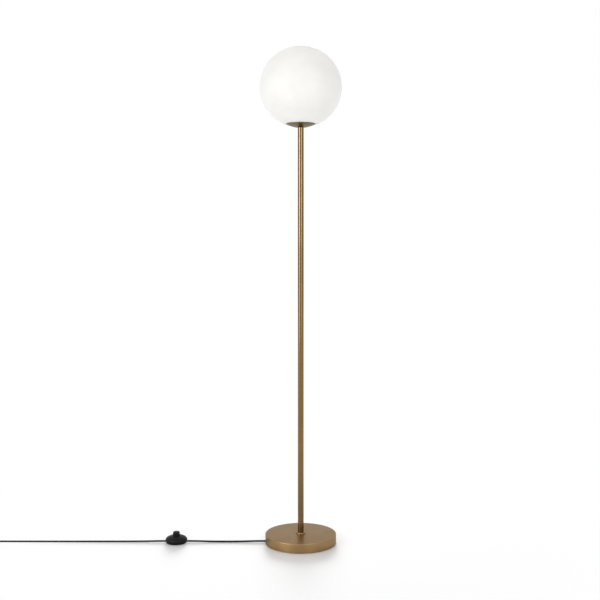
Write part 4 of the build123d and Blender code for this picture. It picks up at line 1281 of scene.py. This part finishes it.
@dataclass
class WeightedBase:
    """The brass cover of the base, with the notch that the cord leaves by."""

    radius: float = 107.5  # Outside.
    low: float = 0.8  # The cover's lower edge.
    wall: float = 1.2  # Thickness of the brass.
    edge_r: float = 1.6  # Rounding of the top edge.
    rim_r: float = 0.3  # Rounding of the lower edge.
    bend_r: float = 0.6  # Rounding inside the top edge.
    hole_r: float = 5.05  # Radius of the hole for the threaded tube.
    notch_r: float = 3.55  # Half the notch's width.

    def outline(self) -> list[Point]:
        """Draws the wall of the pressed cover.

        Returns:
            The outline's points.
        """
        inside, top = self.radius - self.wall, SIZES.base_h
        outer = [(self.hole_r, top), (self.radius, top, self.edge_r), (self.radius, self.low, self.rim_r)]
        roof = top - self.wall
        inner = [(inside, self.low, self.rim_r), (inside, roof, self.bend_r), (self.hole_r, roof)]
        return rounded(outer + inner)

    def build(self) -> None:
        """Builds the cover and dresses what is under it."""
        cover = Turning("base_cover_brass", BRASS_TURNED, self.outline(), segments=180).build()
        ends = (-self.radius - BEYOND, -self.radius + 2 * self.wall)
        cut_notch(cover, ends, self.notch_r, SIZES.cord_exit_z)
        place_piece(cover, BRASS_TURNED, Body.LAMP, "base_cover")
        dress_nodes(IRON, "base_weight")
        dress_nodes(PAD_RUBBER, "base_pad")
        dress_nodes(ZINC, "base_washer", "base_lock_washer", "base_nut", "base_stud")


# ---------------------------------------------------------------- pole


@dataclass
class BrassPole:
    """The pole's tube and the ring at its foot."""

    wall: float = 1.2  # Thickness of the tube.
    collar_r: float = 14.3  # Radius of the foot ring.
    collar_h: float = 3.6  # Height of the foot ring.
    collar_round: float = 1.6  # Rounding of the foot ring's upper edge.
    collar_foot: float = 0.3  # Rounding of its lower edge.
    end_break: float = 0.2  # Break on the tube's ends.
    fit: float = 0.05  # Gap between the tube and its ring.

    def tube_outline(self) -> list[Point]:
        """Draws the tube's wall, with a small break on each end.

        Returns:
            The outline's points.
        """
        low, high, bore = SIZES.base_h, SIZES.pole_top, SIZES.pole_r - self.wall
        side = [(SIZES.pole_r, z) for z in heights(low + self.end_break, high - self.end_break, steps=40)]
        rim = SIZES.pole_r - self.end_break
        return [(bore, low), (rim, low), *side, (rim, high), (bore, high)]

    def ring_outline(self) -> list[Point]:
        """Draws the foot ring.

        Returns:
            The outline's points.
        """
        low, bore = SIZES.base_h, SIZES.pole_r + self.fit
        high, radius = low + self.collar_h, self.collar_r
        corners = [(radius, low, self.collar_foot), (radius, high, self.collar_round)]
        return rounded([(bore, low), *corners, (bore, high)])

    def build(self) -> None:
        """Builds the tube and the ring, and dresses the inserts."""
        Turning("pole_tube_brass", BRASS_TUBE, self.tube_outline()).stand_for(Body.LAMP, "pole_tube")
        Turning("pole_foot_ring", BRASS_TURNED, self.ring_outline()).stand_for(Body.LAMP, "pole_collar")
        dress_nodes(ZINC, "pole_foot_insert", "pole_top_insert", "head_nipple")


# ---------------------------------------------------------------- cup and lamp holder


@dataclass
class GlobeCup:
    """The brass cup that carries the globe, and the lamp holder in it."""

    radius: float = 44.6  # Radius of the rim.
    flat_r: float = 10.2  # Radius of the flat underside.
    rise: float = 10.4  # Height of the bowl outside.
    bow: float = 0.5  # Share of the rise that is bowed.
    lip_h: float = 1.3  # Height of the straight lip.
    lip_w: float = 3.6  # Width of the seat.
    lip_edge: float = 0.6  # Rounding of the lip's edge.
    lip_run: Point = (1.0, 1.5)  # How far the lip runs straight below its edge, and inwards from it.
    wall: float = 1.2  # Thickness of the brass.
    hole_r: float = 5.05  # Radius of the hole for the threaded tube.
    holder_r: float = 19.0  # Radius of the lamp holder.
    holder_wall: float = 2.2  # Thickness of the lamp holder.
    holder_h: float = 36.0  # Height of its body.
    holder_rim: float = 5.0  # Height of the plain rim on its body.
    grips: int = 40  # Grip ridges round its body.
    grip_depth: float = 0.5  # How deep the valleys between them are.
    grip_ends: Point = (5.0, 9.0)  # How far the grips stay away from the body's lower and upper end.

    def bowl_z(self, radius: float) -> float:
        """Height of the bowl's outside at a radius."""
        share = (radius - self.flat_r) / (self.radius - self.flat_r)
        return SIZES.pole_top + self.rise * ((1 - self.bow) * share + self.bow * share**2)

    def outline(self) -> list[Point]:
        """Draws the wall of the pressed and turned cup.

        Returns:
            The outline's points.
        """
        rim, seat_in = SIZES.pole_top + self.rise + self.lip_h, self.radius - self.lip_w
        down, inwards = self.lip_run
        ends = ((self.radius, rim - down), (self.radius - inwards, rim))
        lip = rounded([ends[0], (self.radius, rim, self.lip_edge), ends[1]], closed=False)
        under = [(r, self.bowl_z(r)) for r in heights(self.flat_r, self.radius, steps=18)]
        over = [(r, self.bowl_z(r) + self.wall) for r in heights(seat_in, self.flat_r, steps=18)]
        hole = [(self.hole_r, SIZES.pole_top), (self.hole_r, SIZES.pole_top + self.wall)]
        return [hole[0], *under, *lip, (seat_in, rim), *over, hole[1]]

    def holder_outline(self) -> list[Point]:
        """Draws the holder's body, a tube with rounded top edges.

        Returns:
            The outline's points.
        """
        low, high = SIZES.holder_top, SIZES.holder_top + self.holder_h
        bore, edge = self.holder_r - self.holder_wall, self.holder_wall / 3
        ends = (low + self.grip_ends[0], high - self.grip_ends[1])
        grip = [(self.holder_r, z) for z in heights(*ends, steps=12)]
        corners = [(self.holder_r, high, edge), (bore, high, edge)]
        neck = high - self.holder_rim
        top = rounded([(self.holder_r, neck), *corners, (bore, neck)], closed=False)
        return [(bore, low), (self.holder_r, low), *grip, *top]

    def build(self) -> None:
        """Builds the cup and the holder's body, and dresses the rest."""
        cup = Turning("globe_cup_brass", BRASS_SPUN, self.outline(), segments=144, sharp_degrees=25.0)
        cup.stand_for(Body.LAMP, "globe_dish")
        low = SIZES.holder_top + self.grip_ends[0] + self.grip_depth
        high = SIZES.holder_top + self.holder_h - self.grip_ends[1] - self.grip_depth
        ridges = Ridges(self.grips, 0.0, self.grip_depth, low, high, self.holder_r - HAIR)
        outline = self.holder_outline()
        holder = Turning("lampholder_body_ridged", THERMOSET, outline, 6 * self.grips, ridges=ridges)
        holder.stand_for(Body.LAMP, "lampholder_body")
        dress_nodes(SPRING_STEEL, "globe_spring")
        dress_nodes(ZINC, "dish_washer", "dish_nut")
        dress_nodes(SILICONE, "globe_seat_ring")
        dress_nodes(THERMOSET, "lampholder_cap")
        dress_nodes(STEATITE, "lampholder_block")
        dress_nodes(CONTACT_BRASS, "lampholder_screws", "lampholder_sleeve", "lampholder_contact")


# ---------------------------------------------------------------- bulb


@dataclass
class ScrewBulb:
    """The bulb: threaded cap, plastic body and frosted dome."""

    cap_low: float = 1299.4  # Lower end of the cap.
    thread_r: float = 13.1  # Radius of the thread's crests.
    thread_depth: float = 0.8  # Depth of the thread.
    thread_pitch: float = 3.6  # How far the thread climbs in one turn.
    thread_turns: int = 5  # Its turns.
    thread_end: float = 0.5  # Plain skirt over the thread.
    body_low: float = 1320.4  # Lower edge of the plastic body.
    body_h: float = 38.0  # Height of the plastic body.
    neck_r: float = 13.8  # Radius of the body at the cap.
    body_r: float = 28.4  # Radius of the body at the dome.
    wall: float = 1.6  # Thickness of the plastic.
    board_t: float = 1.6  # Thickness of the board under the dome.
    dome_r: float = 30.0  # Largest radius of the dome.
    dome_h: float = 44.0  # Height of the dome.

    def body_radius(self, height: float) -> float:
        """Follows the plastic body, an arc that leaves the cap upright.

        Args:
            height: a height on the body.

        Returns:
            The radius there.
        """
        run, rise = self.body_r - self.neck_r, height - self.body_low
        arc_r = (run**2 + self.body_h**2) / (2 * run)
        return self.neck_r + arc_r - math.sqrt(arc_r**2 - rise**2)

    def build_cap(self) -> None:
        """Builds the cap with its rolled thread."""
        thread_high = self.cap_low + self.thread_turns * self.thread_pitch
        side = [(self.thread_r, z) for z in heights(self.cap_low, thread_high, steps=60)]
        skirt = [(self.thread_r, thread_high + self.thread_end), (self.thread_r, self.body_low)]
        outline = [(0.0, self.cap_low), *side, *skirt, (0.0, self.body_low)]
        edges = (self.cap_low - HAIR, thread_high + HAIR)
        ridges = Ridges(1, self.thread_pitch, self.thread_depth, *edges, self.thread_r - HAIR)
        cap = Turning("bulb_cap_threaded", ALUMINIUM, outline, segments=72, ridges=ridges)
        cap.stand_for(Body.BULB, "bulb_cap")

    def build_body(self) -> None:
        """Builds the plastic body, a cup that widens to the dome."""
        rises = heights(self.body_low, self.body_low + self.body_h, steps=20)
        floor_z = self.body_low + self.wall
        outer = [(self.body_radius(z), z) for z in rises]
        inner = [(self.body_radius(z) - self.wall, z) for z in reversed(rises) if z > floor_z]
        outline = [(0.0, self.body_low), *outer, *inner, (self.neck_r - self.wall, floor_z), (0.0, floor_z)]
        Turning("bulb_body_white", PBT_WHITE, outline, segments=72).stand_for(Body.BULB, "bulb_body")

    def build_dome(self) -> None:
        """Builds the frosted dome, an egg cut off at the board."""
        low = self.body_low + self.body_h + self.board_t
        angle = math.acos(self.body_r / self.dome_r)
        half = self.dome_h / (1 + math.sin(angle))
        middle, inner = low + self.dome_h - half, half - self.wall
        inner_angle = math.degrees(math.asin((middle - low) / inner))
        outside = polar((0.0, middle), (self.dome_r, half), -math.degrees(angle), 90.0, steps=36)
        inside = polar((0.0, middle), (self.dome_r - self.wall, inner), 90.0, -inner_angle, steps=36)
        outside[-1], inside[0] = (0.0, middle + half), (0.0, middle + inner)
        outline = [*reversed(outside), *reversed(inside)]
        dome = Turning("bulb_dome_frosted", FROSTED, outline, segments=72, sharp_degrees=40.0)
        dome.stand_for(Body.BULB, "bulb_dome")

    def build(self) -> None:
        """Builds the bulb and dresses its small pieces."""
        self.build_cap()
        self.build_body()
        self.build_dome()
        dress_nodes(ALUMINIUM, "bulb_board")
        dress_nodes(GLASS_SEAL, "bulb_insulator")
        dress_nodes(CONTACT_BRASS, "bulb_contact")


# ---------------------------------------------------------------- foot switch


@dataclass
class FootSwitch:
    """The foot switch in the cord: domed cover, sprung button and what is inside."""

    foot_r: float = 30.2  # Radius of the cover at the floor.
    belt_z: float = 9.5  # Height at which the cover is widest.
    dome_h: float = 13.0  # Height of the dome over the belt.
    wall: float = 2.0  # Thickness of the cover.
    lift: float = 0.8  # Height of the cover's lower edge.
    gap: float = 0.3  # Gap round the button, over its flange and over its spring.
    hole_break: Point = (0.1, 0.3)  # Width and height of the break on the edge of the button's hole.
    hole_turn: float = 0.8  # How much earlier the dome ends for it, in degrees.
    way_half: float = 40.0  # Half the length of the cutter for the cord's way.
    way_gap: float = 0.05  # Gap over the cord.
    button_r: float = 10.8  # Radius of the button.
    button_taper: float = 0.7  # How much narrower the button's top is.
    button_top: float = 33.1  # Height of the button's top at rest.
    button_edge: float = 3.0  # Rounding of the button's top edge.
    button_wall: float = 2.3  # Thickness of the button.
    dish: Point = (5.5, 6.9)  # Radii of the floor and the rim of the dish in its top.
    dish_depth: float = 0.35  # How deep the dish is.
    flange_r: float = 12.6  # Radius of the flange inside the cover.
    flange_t: float = 1.6  # Thickness of the flange.
    flange_edge: float = 0.2  # Rounding of its edges.
    stem_r: float = 2.4  # Radius of the stem under the button.
    stem_edge: float = 0.4  # Rounding of its lower end.
    stem_low: float = 7.3  # The stem's lower end.
    travel: float = 4.0  # How far the button goes down.
    spring_r: float = 5.6  # Radius of the spring at the middle of its wire.
    spring_wire: float = 0.9  # Thickness of its wire.
    spring_turns: float = 5.0  # Its turns.
    spring_low: float = 11.3  # What the spring stands on.
    pad_r: float = 4.0  # Radius of a foot pad.
    pad_place_r: float = 22.0  # Distance of the pads from the switch's axis.
    pad_angle: float = 40.0  # Angle of the first pad from the cord, in degrees.

    def skirt_r(self, height: float, inset: float) -> float:
        """Follows the cover below its belt, an arc that leaves the belt upright.

        Args:
            height: a height below the belt.
            inset: thickness of the wall inside the outer face.

        Returns:
            The radius there.
        """
        run, rise = SIZES.switch_r - self.foot_r, self.belt_z - self.lift
        arc_r = (run**2 + rise**2) / (2 * run)
        return SIZES.switch_r - inset - arc_r + math.sqrt(arc_r**2 - (self.belt_z - height) ** 2)

    def cover_outline(self) -> list[Point]:
        """Draws the wall of the domed cover, from the floor to its button hole and back.

        Returns:
            The outline's points.
        """
        hole = self.button_r + self.gap
        rises = heights(self.lift, self.belt_z, steps=8)[:-1]
        outer_r, inner_r = SIZES.switch_r, SIZES.switch_r - self.wall
        outer_end, inner_end = (math.degrees(math.acos(hole / r)) for r in (outer_r, inner_r))
        edge_z = self.belt_z + self.dome_h * math.sin(math.radians(outer_end))
        outside = [(self.skirt_r(z, 0.0), z) for z in rises]
        last, (wide, high) = outer_end - self.hole_turn, self.hole_break
        outside += polar((0.0, self.belt_z), (outer_r, self.dome_h), 0.0, last, steps=28)
        outside += [(hole + wide, edge_z - wide / 2), (hole, edge_z - high)]
        inside = polar((0.0, self.belt_z), (inner_r, self.dome_h - self.wall), inner_end, 0.0, steps=28)
        inside += [(self.skirt_r(z, self.wall), z) for z in reversed(rises)]
        return outside + inside

    def button_outline(self) -> list[Point]:
        """Draws the hollow button with its flange and stem.

        Returns:
            The outline's points.
        """
        ceiling, bore = self.button_top - self.button_wall, self.button_r - self.button_wall
        share = self.flange_r / (SIZES.switch_r - self.wall)
        roof = self.belt_z + (self.dome_h - self.wall) * math.sqrt(1 - share**2)
        low = roof - self.gap - self.flange_t
        high, top, dish_z = low + self.flange_t, self.button_top, self.button_top - self.dish_depth
        stem = [(0.0, self.stem_low), (self.stem_r, self.stem_low, self.stem_edge), (self.stem_r, ceiling)]
        flange = [(self.flange_r, low, self.flange_edge), (self.flange_r, high, self.flange_edge)]
        side = [(self.button_r, high), (self.button_r - self.button_taper, top, self.button_edge)]
        dish = [(self.dish[1], top), (self.dish[0], dish_z), (0.0, dish_z)]
        return rounded([*stem, (bore, ceiling), (bore, low), *flange, *side, *dish], closed=False)

    def build_spring(self) -> Piece:
        """Winds the button's return spring.

        Returns:
            The spring.
        """
        high = self.button_top - self.button_wall - self.gap - self.spring_wire / 2
        low = self.spring_low + self.spring_wire / 2
        shape = NodeShape("switch_button_spring", SPRING_STEEL)
        radius = shape.size("Radius", self.spring_r * MM)
        coil = {
            "Resolution": 32,
            "Rotations": shape.size("Turns", self.spring_turns),
            "Start Radius": radius,
            "End Radius": radius,
            "Height": shape.size("Height", (high - low) * MM),
        }
        spiral = add_node(shape.tree, "GeometryNodeCurveSpiral", coil).outputs[0]
        section = {"Resolution": 10, "Radius": shape.size("Wire radius", self.spring_wire / 2 * MM)}
        wire = add_node(shape.tree, "GeometryNodeCurvePrimitiveCircle", section).outputs[0]
        path = {"Curve": spiral, "Profile Curve": wire, "Fill Caps": True}
        swept = add_node(shape.tree, "GeometryNodeCurveToMesh", path).outputs[0]
        return shape.build(swept, (SIZES.switch_x, 0.0, low), sharp_degrees=50.0)

    def build_pads(self) -> Piece:
        """Sets the four rubber pads under the switch, two on each side of the cord.

        Returns:
            The pads, as one piece.
        """
        shape = NodeShape("switch_foot_pads", PAD_RUBBER)
        angle, across = math.radians(self.pad_angle), 2 * self.pad_place_r * MM
        corners = {
            "Size X": shape.size("Spacing along the cord", across * math.cos(angle)),
            "Size Y": shape.size("Spacing across the cord", across * math.sin(angle)),
            "Vertices X": shape.size("Pads along the cord", 2),
            "Vertices Y": shape.size("Pads across the cord", 2),
        }
        points = add_node(shape.tree, "GeometryNodeMeshGrid", corners).outputs[0]
        disc = {
            "Vertices": 32,
            "Radius": shape.size("Pad radius", self.pad_r * MM),
            "Depth": shape.size("Pad height", self.lift * MM),
        }
        pad = add_node(shape.tree, "GeometryNodeMeshCylinder", disc).outputs[0]
        copies = {"Points": points, "Instance": pad}
        pads = add_node(shape.tree, "GeometryNodeInstanceOnPoints", copies).outputs[0]
        return shape.build(pads, (SIZES.switch_x, 0.0, self.lift / 2))

    def build(self, cord: FlexCord) -> list[Piece]:
        """Builds the switch.

        Args:
            cord: draws the stubs of cord inside it.

        Returns:
            All its pieces.
        """
        foot = (SIZES.switch_x, 0.0, 0.0)
        outline = self.cover_outline()
        cover = Turning("switch_cover_black", ABS_BLACK, outline, segments=120, foot=foot).build()
        ends = (SIZES.switch_x - self.way_half, SIZES.switch_x + self.way_half)
        cut_notch(cover, ends, SIZES.cord_r + self.way_gap, SIZES.cord_exit_z)
        place_piece(cover, ABS_BLACK, Body.LAMP, "switch_cover")
        button = Turning("switch_button_black", ABS_BLACK, self.button_outline(), segments=72, foot=foot)
        pieces = [cover, button.stand_for(Body.BUTTON, "switch_button")]
        spring = place_piece(self.build_spring(), SPRING_STEEL, Body.LAMP, "switch_spring")
        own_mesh(spring)
        pads = place_piece(self.build_pads(), PAD_RUBBER, Body.LAMP, "switch_feet")
        stubs = cord.draw("flex_inside_switch", *cord.stub_routes())
        place_piece(stubs, FLEX_VINYL, Body.LAMP, "switch_inner_cords")
        pieces += [spring, pads, stubs, *dress_nodes(ABS_BLACK, "switch_bottom", "switch_clamps")]
        pieces += dress_nodes(ZINC, "switch_cover_screws", "switch_terminal_screws", "switch_clamp_screws")
        pieces += dress_nodes(PBT_WHITE, "switch_block")
        return pieces + dress_nodes(CONTACT_BRASS, "switch_terminals")


# ---------------------------------------------------------------- plug and tie


@dataclass
class FlatPlug:
    """The two-pin plug with its ribbed boot."""

    boot_len: float = 24.0  # Length of the boot.
    boot_tip_r: float = 3.5  # Radius of the boot where the cord enters.
    boot_r: float = 5.2  # Radius of the boot at the plug.
    grooves: int = 4  # Grooves round the boot.
    groove_w: float = 1.4  # Width of a groove.
    groove_depth: float = 0.6  # Depth of a groove.
    length: float = 33.0  # Length of the body.
    taper_len: float = 22.0  # Length in which it widens.
    back: Point = (13.0, 11.0)  # Width and height at the boot.
    front: Point = (35.3, 13.7)  # Width and height at the pins.
    corner_r: float = 3.0  # Rounding along the body.
    face_edge: float = 0.8  # Rounding round the front face.

    def section(self, distance: float, inset: float) -> list[Place]:
        """Rounded section of the body.

        Args:
            distance: how far it lies from the boot.
            inset: how much it is drawn in all round.

        Returns:
            The section's points.
        """
        share = min(distance / self.taper_len, 1.0)
        width, height = (a + (b - a) * share - 2 * inset for a, b in zip(self.back, self.front))
        corner = self.corner_r - inset / 2
        x = SIZES.boot_x - self.boot_len - distance
        points: list[Place] = []
        for turn, (side, up) in enumerate(((1, 1), (-1, 1), (-1, -1), (1, -1))):
            middle = (side * (width / 2 - corner), up * (height / 2 - corner))
            arc = polar(middle, (corner, corner), 90.0 * turn, 90.0 * (turn + 1), steps=8)
            points += [(x, across, SIZES.plug_z + height_at) for across, height_at in arc]
        return points

    def build_body(self) -> Piece:
        """Builds the moulded body, with eased edges round both ends.

        Returns:
            The body.
        """
        edge = self.face_edge
        ease = polar((edge, edge), (edge, edge), 180.0, 270.0, steps=3)[:-1]
        start = [self.section(distance, inset) for distance, inset in ease]
        middle = [self.section(distance, 0.0) for distance in heights(edge, self.length - edge, steps=24)]
        end = [self.section(self.length - distance, inset) for distance, inset in reversed(ease)]
        return loft("plug_body_moulded", [*start, *middle, *end])

    def build_boot(self) -> Piece:
        """Builds the tapered boot with its grooves.

        Returns:
            The boot.
        """
        spacing = self.boot_len / (self.grooves + 1)
        slope = (self.boot_r - self.boot_tip_r) / self.boot_len
        places = heights(0.0, self.boot_len, steps=120)
        side = [(self.boot_tip_r + slope * along, along) for along in places]
        outline = [(0.0, 0.0), *side, (0.0, self.boot_len)]
        ends = (spacing / 2, self.boot_len - spacing / 2)
        share = self.groove_w / spacing
        rings = Ridges(0, spacing, self.groove_depth, *ends, self.boot_tip_r, share)
        foot = (SIZES.boot_x, 0.0, SIZES.plug_z)
        boot = Turning(
            "plug_boot_ribbed", PLUG_VINYL, outline, segments=48, foot=foot, lies=True, ridges=rings
        )
        return boot.stand_for(Body.LAMP, "plug_boot")

    def build(self) -> list[Piece]:
        """Builds the plug.

        Returns:
            Its pieces.
        """
        pieces = [self.build_boot(), place_piece(self.build_body(), ABS_BLACK, Body.LAMP, "plug_body")]
        return pieces + dress_nodes(ABS_BLACK, "plug_pin_sleeves") + dress_nodes(NICKEL, "plug_pins")


@dataclass
class CoilTie:
    """The strap that holds the put-away coil."""

    thickness: float = 0.7  # Thickness of the strap.
    rounding: float = 2.4  # Rounding of its corners inside.
    ease: float = 0.15  # How much its edges are taken off.

    def loop(self, low: Sequence[float], high: Sequence[float], inset: float) -> list[Point]:
        """Draws a rounded rectangle round the cord's turns.

        Args:
            low: lowest corner of the tie's box, in millimetres.
            high: its highest corner.
            inset: how much the rectangle is drawn in.

        Returns:
            Its points, as (y, z).
        """
        corner = self.rounding + self.thickness - inset
        sides = ((high[1], high[2]), (low[1], high[2]), (low[1], low[2]), (high[1], low[2]))
        points: list[Point] = []
        for turn, (y, z) in enumerate(sides):
            y_in = y - (inset + corner) * (1 if y > low[1] else -1)
            z_in = z - (inset + corner) * (1 if z > low[2] else -1)
            points += polar((y_in, z_in), (corner, corner), 90.0 * turn, 90.0 * (turn + 1), steps=8)
        return points

    def build(self) -> Piece:
        """Builds the strap with eased edges.

        Returns:
            The strap.
        """
        low, high = ([value / MM for value in corner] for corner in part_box("cord_tie"))
        outer, inner = self.loop(low, high, 0.0), self.loop(low, high, self.thickness)
        (left, right), ease = (low[0], high[0]), self.ease
        sections = []
        for out, into in zip(outer, inner):
            run = Vector((into[0] - out[0], into[1] - out[1])).normalized() * ease
            outside, inside = (out[0] + run.x, out[1] + run.y), (into[0] - run.x, into[1] - run.y)
            front = [(left + ease, *out), (right - ease, *out), (right, *outside), (right, *inside)]
            back = [(right - ease, *into), (left + ease, *into), (left, *inside), (left, *outside)]
            sections.append(front + back)
        strap = loft("coil_tie_strap", sections, ring=True)
        return place_piece(strap, STRAP, Body.LAMP, "cord_tie")


# ---------------------------------------------------------------- main


def save_sizes(cad_box: Any) -> None:
    """Puts the CAD box and the visual model's box side by side, without writing them anywhere.

    Args:
        cad_box: the CAD model's box.
    """
    boxes = {"cad": cad_box, "visual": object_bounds()}
    plain = {name: [[float(x) for x in corner] for corner in box] for name, box in boxes.items()}


def main() -> None:
    """Builds the scene: camera, cord and studio first, then each part of the lamp."""
    logging.basicConfig(level=logging.INFO, format="%(name)s: %(message)s")
    cad_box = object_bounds()
    Viewpoint().build()
    cord = FlexCord()
    cords = cord.build()
    Studio().build()
    switch = FootSwitch().build(cord)
    plug = [*FlatPlug().build(), CoilTie().build()]
    bush = dress_nodes(PLUG_VINYL, "cord_exit_bush")
    cord.declare(cords, (switch + bush, plug))
    WeightedBase().build()
    BrassPole().build()
    GlobeCup().build()
    ScrewBulb().build()
    GlassGlobe().build()
    save_sizes(cad_box)


if __name__ == "__main__":
    main()
